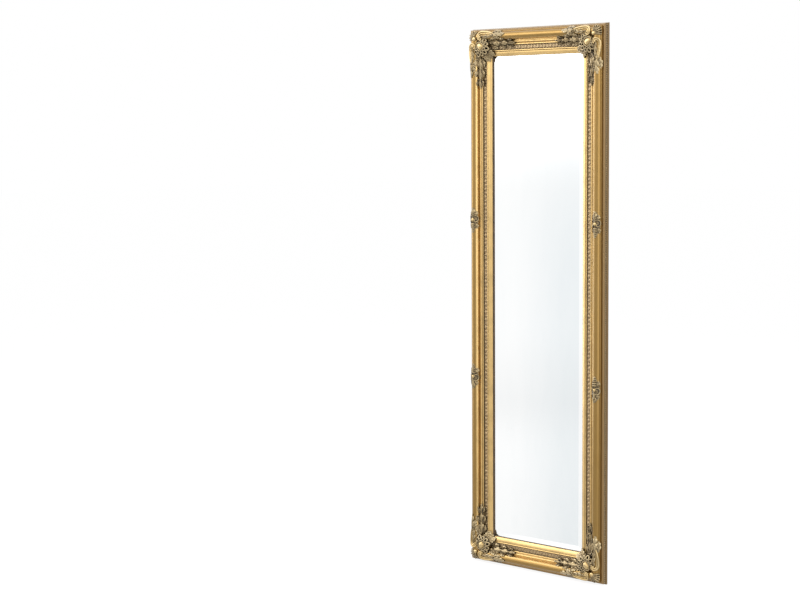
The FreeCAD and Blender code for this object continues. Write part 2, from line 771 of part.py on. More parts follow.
def shield(unit):
    """Outline of the corner's cabochon, with its point towards the outer corner."""
    spots = []
    for step in range(CABOCHON_FLAT_COUNT):
        turn = 2 * math.pi * step / CABOCHON_FLAT_COUNT
        inward = -CABOCHON_SHARES[1] * unit * math.cos(turn)
        aside = CABOCHON_SHARES[2] * unit * math.sin(turn) * (1 - CABOCHON_POINT_SHARE * math.cos(turn))
        spots.append(((inward - aside) * math.sqrt(0.5), (inward + aside) * math.sqrt(0.5)))
    return spots


def domed(shares, foot, top):
    """Rows of a dome between two heights."""
    return [(share, foot + (top - foot) * rise) for share, rise in shares]


def corner_casting():
    """The corner ornament over the bottom left mitre, measured from the outer corner."""
    unit = (moulding * CORNER_UNIT_SHARE).value
    stretch = size("corner_reach").value - unit
    foot = casting_top * ORNAMENT_FOOT_SHARE
    pieces = []
    for shares in (SCROLL_SHARES, TONGUE_LEAF_SHARES, SPRAY_SHARES, SIDE_LEAF_SHARES, BRIDGE_SHARES):
        pieces += [carved(way, foot) for way in both_ways(armed(shares, unit, stretch, casting_top))]
    for shares in (GLASS_LEAF_SHARES, NECK_SHARES):
        pieces.append(carved(armed(shares, unit, stretch, casting_top), foot))
    fan = (FAN_CENTRE_SHARE * unit, FAN_CENTRE_SHARE * unit)
    for lobe in range(FAN_LOBE_COUNT):
        turn = DIAGONAL_TURN + FAN_SPREAD * (lobe / (FAN_LOBE_COUNT - 1) - 0.5)
        pieces.append(carved(rayed(fan, turn, FAN_LOBE_SHARES, (unit, unit), casting_top), foot))
    hinge = (SHELL_HINGE_SHARE * unit, SHELL_HINGE_SHARE * unit)
    for rib in range(SHELL_RIB_COUNT):
        away = 2 * rib / (SHELL_RIB_COUNT - 1) - 1
        longer = unit * (1 + SHELL_CROWN_SHARE * (1 - abs(away)))
        turn = HALF_TURN + DIAGONAL_TURN + SHELL_SPREAD * away / 2
        pieces.append(carved(rayed(hinge, turn, SHELL_RIB_SHARES, (longer, longer), casting_top), foot))
    along, across, radius, rise = EYE_SHARES
    for spot in ((along * unit, across * unit), (across * unit, along * unit)):
        round_eye = oval(EYE_FLAT_COUNT, radius * unit, radius * unit)
        pieces.append(turned(round_eye, domed(EYE_DOME_SHARES, foot, rise * casting_top), spot))
    middle = CABOCHON_SHARES[0] * unit
    crown = CABOCHON_SHARES[3] * casting_top
    pieces.append(turned(shield(unit), domed(DOME_SHARES, foot, crown), (middle, middle)))
    corner = Vector(width.value / 2, 0, height.value / 2)
    return seated(pieces, [ground(side).translated(corner) for side in ("bottom", "left")])


def side_casting():
    """The ornament over the torus of the left stile, measured from the outer edge."""
    across_unit = (moulding * SIDE_UNIT_SHARE).value
    units = (across_unit, size("side_ornament_length").value)
    foot = casting_top * ORNAMENT_FOOT_SHARE
    centre = (moulding.value * CREST_SHARE, 0)
    pieces = []
    for turn in (QUARTER_TURN, -QUARTER_TURN):
        pieces.append(carved(rayed(centre, turn, SIDE_TIP_SHARES, units, casting_top), foot))
    for turn in SIDE_WING_TURNS:
        pieces.append(carved(rayed(centre, turn, SIDE_WING_SHARES, units, casting_top), foot))
    across, along, rise = SIDE_BOSS_SHARES
    boss = oval(SIDE_BOSS_FLAT_COUNT, across * units[0], along * units[1])
    pieces.append(turned(boss, domed(DOME_SHARES, foot, rise * casting_top), centre))
    return seated(pieces, [ground("left").translated(Vector(width.value / 2, 0, 0))])


def handed(shape, across, up):
    """A left or bottom casting turned over for the other side of the frame."""
    if across > 0:
        shape = shape.mirror(Vector(), Vector(1, 0, 0))
    if up > 0:
        shape = shape.mirror(Vector(), Vector(0, 0, 1))
    return shape


torus_centre, torus_radius, _, _ = arc_circle(TORUS_SHARES[0], TORUS_SHARES[1])
casting_top = torus_centre.y + torus_radius + size("ornament_height").value
corner_shape = corner_casting()
for corner, (across, up) in CORNERS.items():
    item = cast("corner_ornament_" + corner, handed(corner_shape, across, up))
    place(item, width / 2 * across, height / 2 * up)
side_shape = side_casting()
for side, hand in HANDS.items():
    for level, up in (("upper", 1), ("lower", -1)):
        item = cast("stile_ornament_%s_%s" % (level, side), handed(side_shape, hand, up))
        place(item, width / 2 * hand, size("side_ornament_spacing") / 2 * up)

# Checks and files
document.recompute()
for item in document.Objects:
    if "Invalid" in item.State or "Error" in item.State:
        raise RuntimeError("%s did not compute: %s" % (item.Label, item.State))
for item in solids:
    shape = item.Shape
    if shape.isNull() or not shape.isValid() or not shape.Solids:
        raise RuntimeError(item.Label + " is not a valid solid")
    shape.exportStep("parts/%s.step" % item.Label)
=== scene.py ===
"""Looks of a tall gilt wall mirror: swept moulding, carved castings, pressed strips and bevelled glass.

The front faces -Y, +Z is up and the frame's back lies in the plane Y = 0. Sizes are metres. The carved
ornament is laid out in millimetres from the frame's outer corner and turned into metres when placed.
"""

import json
import logging
import math
from dataclasses import dataclass, field, replace
from enum import Enum
from typing import Any, Callable, Sequence

import bpy
import numpy as np
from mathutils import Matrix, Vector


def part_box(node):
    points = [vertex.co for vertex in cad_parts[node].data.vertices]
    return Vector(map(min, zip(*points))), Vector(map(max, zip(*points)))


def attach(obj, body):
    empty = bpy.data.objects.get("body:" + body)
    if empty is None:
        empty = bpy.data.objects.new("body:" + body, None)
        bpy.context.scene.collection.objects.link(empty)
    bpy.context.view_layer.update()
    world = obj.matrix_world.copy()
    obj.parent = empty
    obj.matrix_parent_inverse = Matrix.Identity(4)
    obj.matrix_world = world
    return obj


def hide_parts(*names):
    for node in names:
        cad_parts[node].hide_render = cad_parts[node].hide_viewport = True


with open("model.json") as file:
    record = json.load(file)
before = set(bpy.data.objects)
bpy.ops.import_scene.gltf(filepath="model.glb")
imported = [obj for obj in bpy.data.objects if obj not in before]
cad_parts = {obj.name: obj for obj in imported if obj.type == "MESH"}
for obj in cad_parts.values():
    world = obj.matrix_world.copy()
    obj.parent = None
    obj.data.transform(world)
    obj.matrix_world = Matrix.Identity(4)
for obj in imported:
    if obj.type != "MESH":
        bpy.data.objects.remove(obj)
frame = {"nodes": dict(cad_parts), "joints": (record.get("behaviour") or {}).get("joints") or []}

LOG = logging.getLogger("wall_mirror")
MM = 0.001
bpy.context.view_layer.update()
Piece = bpy.types.Object
Finish = bpy.types.Material
Socket = bpy.types.NodeSocket
Spots = np.ndarray
Shape = Callable[[Spots, Spots], Spots]
Number = Any


class Side(Enum):
    """The four lengths of the frame, with the CAD node of each moulding."""

    BOTTOM = "bottom_rail"
    TOP = "top_rail"
    LEFT = "left_stile"
    RIGHT = "right_stile"

    @property
    def word(self) -> str:
        """The side's plain name."""
        return self.name.lower()

    @property
    def level(self) -> bool:
        """Whether the side lies level."""
        return self in (Side.BOTTOM, Side.TOP)


# Modelling by hand


def pick(*pieces: Piece) -> None:
    """Select these pieces alone and make the first one active.

    Args:
        pieces: The pieces to select.
    """
    bpy.ops.object.select_all(action="DESELECT")
    for piece in pieces:
        piece.select_set(True)
    bpy.context.view_layer.objects.active = pieces[0]


def add(name: str, operator: Callable[..., Any], **settings: Any) -> Piece:
    """Add a new piece.

    Args:
        name: The piece's name.
        operator: The operator that adds it.
        settings: What the operator is told.

    Returns:
        The piece, selected alone.
    """
    bpy.ops.object.select_all(action="DESELECT")
    operator(**settings)
    bpy.context.object.name = name
    return bpy.context.object


def read_spots(piece: Piece) -> Spots:
    """Read a mesh's corners.

    Args:
        piece: The mesh.

    Returns:
        Rows of three numbers.
    """
    flat = np.empty(len(piece.data.vertices) * 3)
    piece.data.vertices.foreach_get("co", flat)
    return flat.reshape(-1, 3)


def write_spots(piece: Piece, spots: Spots) -> None:
    """Put a mesh's corners in place."""
    piece.data.vertices.foreach_set("co", np.ascontiguousarray(spots, dtype=float).ravel())
    piece.data.update()


def edit_faces(piece: Piece, step: Callable[[], Any]) -> None:
    """Run an edit-mode step on all of a piece.

    Args:
        piece: The mesh to edit.
        step: The call of an edit-mode operator.
    """
    pick(piece)
    bpy.ops.object.mode_set(mode="EDIT")
    bpy.ops.mesh.select_all(action="SELECT")
    step()
    bpy.ops.object.mode_set(mode="OBJECT")


def face_outwards(piece: Piece) -> None:
    """Turn all faces of a closed piece outwards."""
    edit_faces(piece, lambda: bpy.ops.mesh.normals_make_consistent(inside=False))


def modify(piece: Piece, kind: str, **settings: Any) -> None:
    """Add a modifier to a piece, set it up and apply it.

    Args:
        piece: The piece to modify.
        kind: The modifier's type.
        settings: The modifier's properties.
    """
    pick(piece)
    bpy.ops.object.modifier_add(type=kind)
    modifier = piece.modifiers[-1]
    for name, value in settings.items():
        setattr(modifier, name, value)
    bpy.ops.object.modifier_apply(modifier=modifier.name)


def join(name: str, pieces: Sequence[Piece]) -> Piece:
    """Join pieces into one mesh with a name.

    Args:
        name: The new piece's name.
        pieces: The pieces to join.

    Returns:
        The joined piece.
    """
    pick(*pieces)
    bpy.ops.object.join()
    piece = bpy.context.object
    piece.name = name
    piece.data.name = name
    return piece


def soften(piece: Piece, degrees: float) -> None:
    """Shade a piece smooth but for edges sharper than an angle."""
    pick(piece)
    bpy.ops.object.shade_smooth_by_angle(angle=math.radians(degrees))


def dress(piece: Piece, *finishes: Finish) -> Piece:
    """Give a piece its finishes in place of any others.

    Args:
        piece: The piece.
        finishes: Its finishes, in the order of its faces' numbers.

    Returns:
        The piece.
    """
    piece.data.materials.clear()
    for finish in finishes:
        piece.data.materials.append(finish)
    return piece


def shaped_grid(name: str, shape: Shape, along: int, across: int) -> Piece:
    """Shape a grid of faces by a function of the place along (0 to 1) and across (-1 to 1).

    Args:
        name: The piece's name.
        shape: Gives the places of the grid's corners.
        along: Faces along the sheet.
        across: Faces across the sheet.

    Returns:
        The sheet, facing the front.
    """
    sheet = add(name, bpy.ops.mesh.primitive_grid_add, x_subdivisions=across, y_subdivisions=along, size=2)
    spots = read_spots(sheet)
    write_spots(sheet, shape((spots[:, 1] + 1) / 2, spots[:, 0]))
    if sum(face.normal.y * face.area for face in sheet.data.polygons) > 0:
        edit_faces(sheet, bpy.ops.mesh.flip_normals)
    return sheet


def shaped_ball(name: str, shape: Callable[[Spots], Spots], segments: int, rings: int) -> Piece:
    """Shape a unit ball by a function of its corners.

    Args:
        name: The piece's name.
        shape: Gives the places of the ball's corners.
        segments: Faces round the ball.
        rings: Faces from pole to pole.

    Returns:
        The shaped ball, facing outwards.
    """
    ball = add(name, bpy.ops.mesh.primitive_uv_sphere_add, segments=segments, ring_count=rings, radius=1)
    write_spots(ball, shape(read_spots(ball)))
    face_outwards(ball)
    return ball


def shaped_bar(name: str, outline: Spots, place: Shape) -> Piece:
    """Shape a prism into a bar with any outline.

    Args:
        name: The piece's name.
        outline: Corners of the outline, in order.
        place: Gives corners' places from the outline's corners and the end, -1 or 1.

    Returns:
        The bar, facing outwards.
    """
    count = len(outline)
    bar = add(name, bpy.ops.mesh.primitive_cylinder_add, vertices=count, radius=1, depth=2)
    spots = read_spots(bar)
    turns = np.arctan2(spots[:, 1], spots[:, 0]) / (2 * math.pi) * count
    numbers = np.rint(turns).astype(int) % count
    write_spots(bar, place(outline[numbers], np.sign(spots[:, 2])))
    face_outwards(bar)
    return bar


def tube(name: str, spots: Spots, radii: Sequence[float], closed: bool = False, detail: int = 2) -> Piece:
    """Bend a round tube of changing thickness through places.

    Args:
        name: The piece's name.
        spots: Places along the tube.
        radii: Radius of the tube at each place.
        closed: Whether the tube ends where it starts.
        detail: Fineness round the tube.

    Returns:
        The tube as a mesh.
    """
    curve = add(name, bpy.ops.curve.primitive_bezier_curve_add).data
    line = curve.splines[0]
    line.bezier_points.add(len(spots) - len(line.bezier_points))
    for point, spot, radius in zip(line.bezier_points, spots, radii):
        point.handle_left_type = "AUTO"
        point.handle_right_type = "AUTO"
        point.co = spot
        point.radius = radius
    line.use_cyclic_u = closed
    curve.resolution_u = 5
    curve.bevel_depth = 1
    curve.bevel_resolution = detail
    curve.use_fill_caps = True
    bpy.ops.object.convert(target="MESH")
    return bpy.context.object


def mirrored(piece: Piece, name: str, ways: tuple[int, int, int]) -> Piece:
    """Copy a piece to the other side of the frame's middle.

    Args:
        piece: The piece to copy.
        name: The copy's name.
        ways: -1 for each direction that is mirrored, or else 1.

    Returns:
        The copy, with its own mesh.
    """
    pick(piece)
    bpy.ops.object.duplicate()
    copy = bpy.context.object
    copy.name = name
    copy.data.name = name
    write_spots(copy, read_spots(copy) * ways)
    if math.prod(ways) < 0:
        edit_faces(copy, bpy.ops.mesh.flip_normals)
    return copy


def swing(along: Spots, across: Number, turn: Number) -> Spots:
    """Rows of two lengths, turned by an angle in radians."""
    ahead, aside = np.cos(turn), np.sin(turn)
    return np.stack([along * ahead - across * aside, along * aside + across * ahead], axis=1)


def bell(offset: Spots, width: float) -> Spots:
    """A rounded hump of height 1 over an offset of 0."""
    return np.exp(-((offset / width) ** 2))


def arch(share: Spots) -> Spots:
    """A half circle over shares from -1 to 1, and nothing outside it."""
    return np.maximum(1 - share ** 2, 0) ** 0.5


# Shader maths


def operation(kind: str) -> Callable[..., "Wire"]:
    """A method of Wire that adds a Math node of one kind."""
    def method(wire: "Wire", other: Number = 0.0) -> "Wire":
        """What the node makes of the wire and another value."""
        return wire.maths(kind, wire, other)

    return method


class Wire:
    """A value in a shader, with arithmetic that adds Math nodes."""

    __add__ = __radd__ = operation("ADD")
    __mul__ = __rmul__ = operation("MULTIPLY")
    __sub__ = operation("SUBTRACT")
    __abs__ = operation("ABSOLUTE")
    least = operation("MINIMUM")
    most = operation("MAXIMUM")

    def __init__(self, bench: "Bench", socket: Socket) -> None:
        """Hold a socket and the bench it belongs to."""
        self.bench = bench
        self.socket = socket

    def __rsub__(self, other: Number) -> "Wire":
        """The difference, with the wire second."""
        return self.maths("SUBTRACT", other, self)

    def maths(self, kind: str, first: Number, second: Number) -> "Wire":
        """What one Math node makes of two numbers or wires."""
        return self.bench.value("ShaderNodeMath", {0: first, 1: second}, 0, operation=kind)

    def step(self, low: float, high: float) -> "Wire":
        """A smooth rise from 0 at the low value to 1 at the high one, or a fall where low is above high."""
        inputs = {"Value": self, "From Min": low, "From Max": high}
        return self.bench.value("ShaderNodeMapRange", inputs, "Result", interpolation_type="SMOOTHSTEP")


class Bench:
    """A node tree under construction."""

    def __init__(self, tree: bpy.types.NodeTree) -> None:
        """Empty a tree to work on it."""
        self.tree = tree
        tree.nodes.clear()

    def node(self, kind: str, inputs: dict[Any, Any], **settings: Any) -> bpy.types.Node:
        """Add a node.

        Args:
            kind: The node's type.
            inputs: Numbers, sockets or wires by input name or number.
            settings: The node's properties, set before its inputs.

        Returns:
            The node.
        """
        node = self.tree.nodes.new(kind)
        for name, value in settings.items():
            setattr(node, name, value)
        for name, value in inputs.items():
            if isinstance(value, Wire):
                value = value.socket
            if isinstance(value, Socket):
                self.tree.links.new(value, node.inputs[name])
            else:
                node.inputs[name].default_value = value
        return node

    def value(self, kind: str, inputs: dict[Any, Any], output: Any, **settings: Any) -> Wire:
        """Add a node and take one of its outputs as a value."""
        return Wire(self, self.node(kind, inputs, **settings).outputs[output])

    def parts(self, place: Socket) -> list[Wire]:
        """The X, Y and Z of a place."""
        return [Wire(self, part) for part in self.node("ShaderNodeSeparateXYZ", {"Vector": place}).outputs]

    def drawn(self, place: Socket, scale: tuple) -> Socket:
        """Places scaled along the three directions, to stretch a pattern."""
        return self.node("ShaderNodeMapping", {"Vector": place, "Scale": scale}).outputs[0]

    def noise(self, place: Socket, scale: float, detail: float = 3.0, roughness: float = 0.55) -> Wire:
        """A cloudy pattern from 0 to 1: clouds to the metre, finer layers and their weight."""
        inputs = {"Vector": place, "Scale": scale, "Detail": detail, "Roughness": roughness}
        return self.value("ShaderNodeTexNoise", inputs, 0)

    def mix(self, share: Any, first: Any, second: Any) -> Socket:
        """Two colours blended by the share of the second."""
        inputs = {"Factor": share, 6: first, 7: second}
        return self.node("ShaderNodeMix", inputs, data_type="RGBA").outputs[2]

    def bump(self, height: Wire, strength: float, reach: float) -> Socket:
        """The normals of a height pattern as relief of a depth in metres."""
        inputs = {"Height": height, "Strength": strength, "Distance": reach}
        return self.node("ShaderNodeBump", inputs).outputs[0]

    def finish(self, shader: bpy.types.Node, kind: str = "Material") -> None:
        """Send a shader to the output of a material, world or lamp."""
        self.node("ShaderNodeOutput" + kind, {"Surface": shader.outputs[0]})

    def surface(self, inputs: dict[str, Any]) -> None:
        """Send a Principled shader to the material's output."""
        self.finish(self.node("ShaderNodeBsdfPrincipled", inputs))


def tone(*levels: int) -> tuple[float, ...]:
    """A colour as seen on a screen, by its levels up to 255, in linear light and with full alpha."""
    shares = np.array(levels) / 255
    return (*np.where(shares <= 0.04045, shares / 12.92, ((shares + 0.055) / 1.055) ** 2.4), 1.0)


def new_material(name: str) -> tuple[Finish, Bench, Socket]:
    """Start a material.

    Args:
        name: Its name.

    Returns:
        The material, its empty node tree and the places on the object that wears it.
    """
    material = bpy.data.materials.new(name)
    material.use_nodes = True
    bench = Bench(material.node_tree)
    return material, bench, bench.node("ShaderNodeTexCoord", {}).outputs["Object"]


# Finishes


@dataclass(frozen=True)
class Gilding:
    """A gilt surface, worn bright on what stands out and toned with umber in the hollows.

    Each band on the moulding says where it starts to show and where it is full. Shade is painted onto the
    moulding: a darker colour on the crest and outer slope, and dark lines of umber and painted shade in the
    grooves and under the collar.
    """

    name: str
    gold: tuple
    worn: tuple
    umber: tuple
    metal: float
    roughness: float
    cavity: float
    toned: tuple
    relief: float
    rim_wear: float = 0.0
    crest_painted_shade: tuple = ()
    side_tone: tuple = ()
    cloud_scale: float = 22
    mottle_scale: float = 160
    grain_scale: float = 1100
    umber_share: float = 0.92
    rim_range: tuple = (0.53, 0.64)
    relief_depth: float = 0.4 * MM
    coat: float = 0.22
    coat_roughness: float = 0.18
    # The grooves and the line under the collar are painted dark, with umber and painted shade together.
    grooves: tuple = (0.542, 0.613, 0.780, 0.838)
    groove_band: tuple = (0.9 * MM, 0.3 * MM)
    line_rise: float = 15.4 * MM
    line_band: tuple = (1.5 * MM, 0.5 * MM)
    line_reach: tuple = (6 * MM, 5 * MM)
    crest_band: tuple = (34 * MM, 29 * MM)
    side_band: tuple = (8.6 * MM, 7.8 * MM)
    side_top: tuple = (23.4 * MM, 22.4 * MM)
    foot_top: tuple = (9.9 * MM, 9.1 * MM)

    def material(self, sizes: "FrameSizes") -> Finish:
        """Build the finish.

        Args:
            sizes: The frame's sizes, for the toned bands on the moulding.

        Returns:
            The material.
        """
        material, bench, place = new_material(self.name)
        cloud = bench.noise(place, self.cloud_scale, 4)
        mottle = bench.noise(place, self.mottle_scale, 4, 0.6)
        grain = bench.noise(place, self.grain_scale, 3, 0.6)
        opened = bench.value("ShaderNodeAmbientOcclusion", {"Distance": self.cavity}, "AO", samples=12)
        depth = 1 - opened + (mottle - 0.5) * 0.30 + (cloud - 0.5) * 0.20
        toned = depth.step(*self.toned)
        rim = bench.value("ShaderNodeNewGeometry", {}, "Pointiness").step(*self.rim_range) * self.rim_wear
        proud = (depth.step(self.toned[0] * 0.6, 0.0) * 0.6).most(rim) * (mottle * 0.6 + 0.4)
        colour = bench.mix(proud, self.gold, self.worn)
        colour = bench.mix(cloud.step(0.60, 0.30) * 0.18, colour, self.umber)
        colour = bench.mix(toned * self.umber_share, colour, self.umber)
        dull = toned
        if self.side_tone:
            colour, band = self.banded(bench, sizes, place, colour, toned, cloud)
            dull = dull.most(band * 0.55)
        shine = self.roughness + 0.26 * dull + (mottle - 0.5) * 0.10
        bench.surface({
            "Base Color": colour,
            "Metallic": self.metal - (self.metal * 0.7) * dull,
            "Roughness": shine.most(0.12),
            "Coat Weight": self.coat,
            "Coat Roughness": self.coat_roughness,
            "Normal": bench.bump(mottle * 0.6 + grain * 0.4, self.relief, self.relief_depth),
        })
        return material

    def banded(
        self, bench: Bench, sizes: "FrameSizes", place: Socket, colour: Socket, toned: Wire, cloud: Wire,
    ) -> tuple[Socket, Wire]:
        """Paint shade onto the moulding's crest and dark lines of umber and shade into its grooves and under
        its collar, and tone its outer side, darker at its foot.

        Args:
            bench: The material's bench.
            sizes: The frame's sizes.
            place: The places on the moulding.
            colour: The colour so far.
            toned: Where umber lies so far.
            cloud: A cloudy pattern.

        Returns:
            The colour with its toning and painted shade, and where the outer side's band lies.
        """
        across, back, upright = bench.parts(place)
        inward = (sizes.width / 2 - abs(across)).least(sizes.height / 2 - abs(upright))
        rise = 0 - back
        # Umber and painted shade: dark lines in the valleys between the beads and at the channel's edges.
        for share in self.grooves:
            toned = toned.most(abs(inward - share * sizes.moulding).step(*self.groove_band) * 0.85)
        # Painted shade: a dark line at the ledge under the collar, on the outer side.
        toned = toned.most(abs(rise - self.line_rise).step(*self.line_band) * inward.step(*self.line_reach))
        colour = bench.mix(toned * self.umber_share, colour, self.umber)
        # Painted shade: the crest and outer slope take a darker colour than the gold of the inner slopes.
        crest = inward.step(*self.crest_band) * (1 - toned)
        colour = bench.mix(crest * (0.80 + 0.20 * cloud), colour, self.crest_painted_shade)
        band = inward.step(*self.side_band) * rise.step(*self.side_top)
        colour = bench.mix(band * (0.72 + 0.25 * cloud) * (1 - toned), colour, self.side_tone)
        colour = bench.mix(band * rise.step(*self.foot_top) * 0.45, colour, self.umber)
        return colour, band


@dataclass(frozen=True)
class StainedWood:
    """Bare timber with a dark stain, on the back and in the rebate."""

    name: str
    dark: tuple
    light: tuple
    stretch: tuple = (1.0, 1.0, 0.35)
    ring_scale: float = 90
    pore_scale: float = 700

    def material(self) -> Finish:
        """Build the finish.

        Returns:
            The material.
        """
        material, bench, place = new_material(self.name)
        drawn = bench.drawn(place, self.stretch)
        rings = bench.noise(drawn, self.ring_scale, 6, 0.65)
        pores = bench.noise(drawn, self.pore_scale, 2)
        bench.surface({
            "Base Color": bench.mix(rings.step(0.3, 0.75), self.dark, self.light),
            "Roughness": 0.62 + 0.2 * pores,
            "Normal": bench.bump(rings * 0.6 + pores * 0.4, 0.35, 0.6 * MM),
        })
        return material


@dataclass(frozen=True)
class SilveredGlass:
    """Mirror glass with a painted reflection: a greyer tint over the lower right of the flat inside the
    bevels, with the faintest trace of wiping.
    """

    name: str
    silver: tuple
    shade: tuple
    bevel: float = 25 * MM
    stretch: tuple = (3.0, 1.0, 0.8)
    wipe_scale: float = 6
    shade_across: tuple = (-0.12, 0.14)
    shade_upright: tuple = (0.70, 0.10)
    shade_edge: tuple = (-0.5 * MM, 0.5 * MM)

    def material(self) -> Finish:
        """Build the finish.

        Returns:
            The material.
        """
        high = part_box("mirror_glass")[1]
        material, bench, place = new_material(self.name)
        wiped = bench.noise(bench.drawn(place, self.stretch), self.wipe_scale, 5, 0.6)
        across, _, upright = bench.parts(place)
        inside = (high.x - self.bevel - abs(across)).least(high.z - self.bevel - abs(upright))
        # Painted reflection: a greyer tint over the lower right of the flat stands in for the dimmer room
        # that the glass mirrors there.
        painted_shade_mask = across.step(*self.shade_across) * upright.step(*self.shade_upright)
        painted_shade_mask = painted_shade_mask * inside.step(*self.shade_edge)
        bench.surface({
            "Base Color": bench.mix(painted_shade_mask * 0.85 + 0.12 * wiped.step(0.35, 0.75), self.silver, self.shade),
            "Metallic": 1.0,
            "Roughness": 0.012 + 0.02 * wiped.step(0.45, 0.8),
        })
        return material


@dataclass(frozen=True)
class PressedBoard:
    """Brown hardboard with a woven back."""

    name: str
    brown: tuple
    pale: tuple
    fibre_scale: float = 420
    cloud_scale: float = 9

    def material(self) -> Finish:
        """Build the finish.

        Returns:
            The material.
        """
        material, bench, place = new_material(self.name)
        fibre = bench.noise(place, self.fibre_scale, 5, 0.7)
        cloud = bench.noise(place, self.cloud_scale, 4)
        bench.surface({
            "Base Color": bench.mix(fibre.step(0.35, 0.7) * 0.55 + cloud * 0.3, self.brown, self.pale),
            "Roughness": 0.7 + 0.2 * fibre,
            "Normal": bench.bump(fibre, 0.4, 0.4 * MM),
        })
        return material


@dataclass(frozen=True)
class PlatedSteel:
    """Zinc plated steel with a cloudy passivated skin."""

    name: str
    bright: tuple
    dull: tuple
    bloom_scale: float = 240
    scratch_scale: float = 2400

    def material(self) -> Finish:
        """Build the finish.

        Returns:
            The material.
        """
        material, bench, place = new_material(self.name)
        bloom = bench.noise(place, self.bloom_scale, 4, 0.6)
        scratch = bench.noise(place, self.scratch_scale, 2)
        bench.surface({
            "Base Color": bench.mix(bloom.step(0.35, 0.7), self.bright, self.dull),
            "Metallic": 0.95,
            "Roughness": 0.26 + 0.22 * bloom,
            "Normal": bench.bump(scratch, 0.15, 0.1 * MM),
        })
        return material


@dataclass(frozen=True)
class SoftRubber:
    """Dark rubber with a dusty bloom."""

    name: str
    black: tuple
    dusty: tuple
    dust_scale: float = 500

    def material(self) -> Finish:
        """Build the finish.

        Returns:
            The material.
        """
        material, bench, place = new_material(self.name)
        dust = bench.noise(place, self.dust_scale, 4, 0.65)
        bench.surface({
            "Base Color": bench.mix(dust.step(0.45, 0.8), self.black, self.dusty),
            "Roughness": 0.6 + 0.25 * dust,
            "Normal": bench.bump(dust, 0.25, 0.2 * MM),
        })
        return material


# The frame's own sizes and section


@dataclass(frozen=True)
class FrameSizes:
    """Sizes of the whole frame, and places along its sides."""

    width: float
    height: float
    moulding: float
    depth: float = 36.5 * MM

    @classmethod
    def read(cls) -> "FrameSizes":
        """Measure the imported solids.

        Returns:
            The sizes.
        """
        rail_low, rail_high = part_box("bottom_rail")
        stile_low, stile_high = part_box("left_stile")
        return cls(rail_high.x - rail_low.x, stile_high.z - stile_low.z, stile_high.x - stile_low.x)

    def half(self, side: Side) -> float:
        """Half the outer length of one side."""
        return (self.width if side.level else self.height) / 2

    def place(self, side: Side, along: Spots, inward: Spots, rise: Spots) -> Spots:
        """Places in the frame from places on one side of it.

        Args:
            side: The side.
            along: Distance along the side from its middle.
            inward: Distance from the outer edge.
            rise: Height over the back plane.

        Returns:
            Rows of three numbers.
        """
        edge = (self.height if side.level else self.width) / 2
        level = inward - edge if side in (Side.BOTTOM, Side.LEFT) else edge - inward
        if side.level:
            return np.stack([along, -rise, level], axis=1)
        return np.stack([level, -rise, along], axis=1)

    def mitred(self, side: Side) -> Shape:
        """The function that places rows of (inward, rise) at the mitred ends of a side, -1 or 1."""
        half = self.half(side)
        return lambda rows, end: self.place(side, end * (half - rows[:, 0]), *rows.T)


class Section:
    """The moulding's section as shares of its width, from the outer edge, and of its depth.

    The third number of a row is the height of an arc to the next row, in shares of its chord.
    """

    FOOT = [(0.018, 0.0, 0.16), (0.018, 0.26, 0.0)]
    PEARL_GROOVE = [(0.051, 0.26, 0.0), (0.051, 0.41, 0.0)]
    COLLAR = [(0.032, 0.41, 0.10), (0.054, 0.60, 0.0)]
    ARRIS = [(0.11, 0.60, 0.0), (0.11, 0.73, 0.30)]
    TORUS = [(0.14, 0.75, 0.435), (0.427, 0.663, 0.0), (0.431, 0.553, 0.0)]
    BEADS = [(0.463, 0.553, 0.42), (0.529, 0.553, 0.0), (0.556, 0.532, 0.42), (0.615, 0.532, 0.0)]
    CHANNEL = [(0.615, 0.44, 0.0), (0.778, 0.44, 0.0)]
    THIRD_BEAD = [(0.778, 0.51, 0.42), (0.829, 0.51, 0.0)]
    SIGHT = [(0.846, 0.493, 0.0), (0.846, 0.532, 0.10), (0.982, 0.425, 0.22)]
    LIP = [(1.0, 0.39, 0.0), (1.0, 0.2795, 0.0)]
    REBATE = [(0.878, 0.2795, 0.0), (0.878, 0.0, 0.0)]
    ROWS = FOOT + PEARL_GROOVE + COLLAR + ARRIS + TORUS + BEADS + CHANNEL + THIRD_BEAD + SIGHT + LIP + REBATE
    ARC_STEP = math.radians(7)

    def __init__(self, sizes: FrameSizes) -> None:
        """Scale the section to the frame."""
        self.scale = np.array([sizes.moulding, sizes.depth])

    def outline(self) -> Spots:
        """Trace the section with its arcs.

        Returns:
            Its corners, as rows of (inward, rise).
        """
        spots = []
        for row, following in zip(self.ROWS, self.ROWS[1:] + self.ROWS[:1]):
            start = np.array(row[:2]) * self.scale
            spots.append(start)
            if row[2]:
                spots += self.arc(start, np.array(following[:2]) * self.scale, row[2])
        return np.array(spots)

    def arc(self, start: Spots, end: Spots, bulge: float) -> list[Spots]:
        """Corners along an arc between two places, without its ends.

        Args:
            start: The arc's start.
            end: The arc's end.
            bulge: Height of the arc in shares of its chord.

        Returns:
            The corners between.
        """
        chord = end - start
        length = math.hypot(*chord)
        ahead = chord / length
        out = np.array([-ahead[1], ahead[0]])
        radius = length * (1 / (8 * bulge) + bulge / 2)
        centre = (start + end) / 2 + out * (length * bulge - radius)
        half = 2 * math.atan(2 * bulge)
        count = max(3, round(2 * half / self.ARC_STEP))
        turns = np.linspace(-half, half, count + 1)[1:-1]
        return [centre + radius * (out * math.cos(turn) + ahead * math.sin(turn)) for turn in turns]


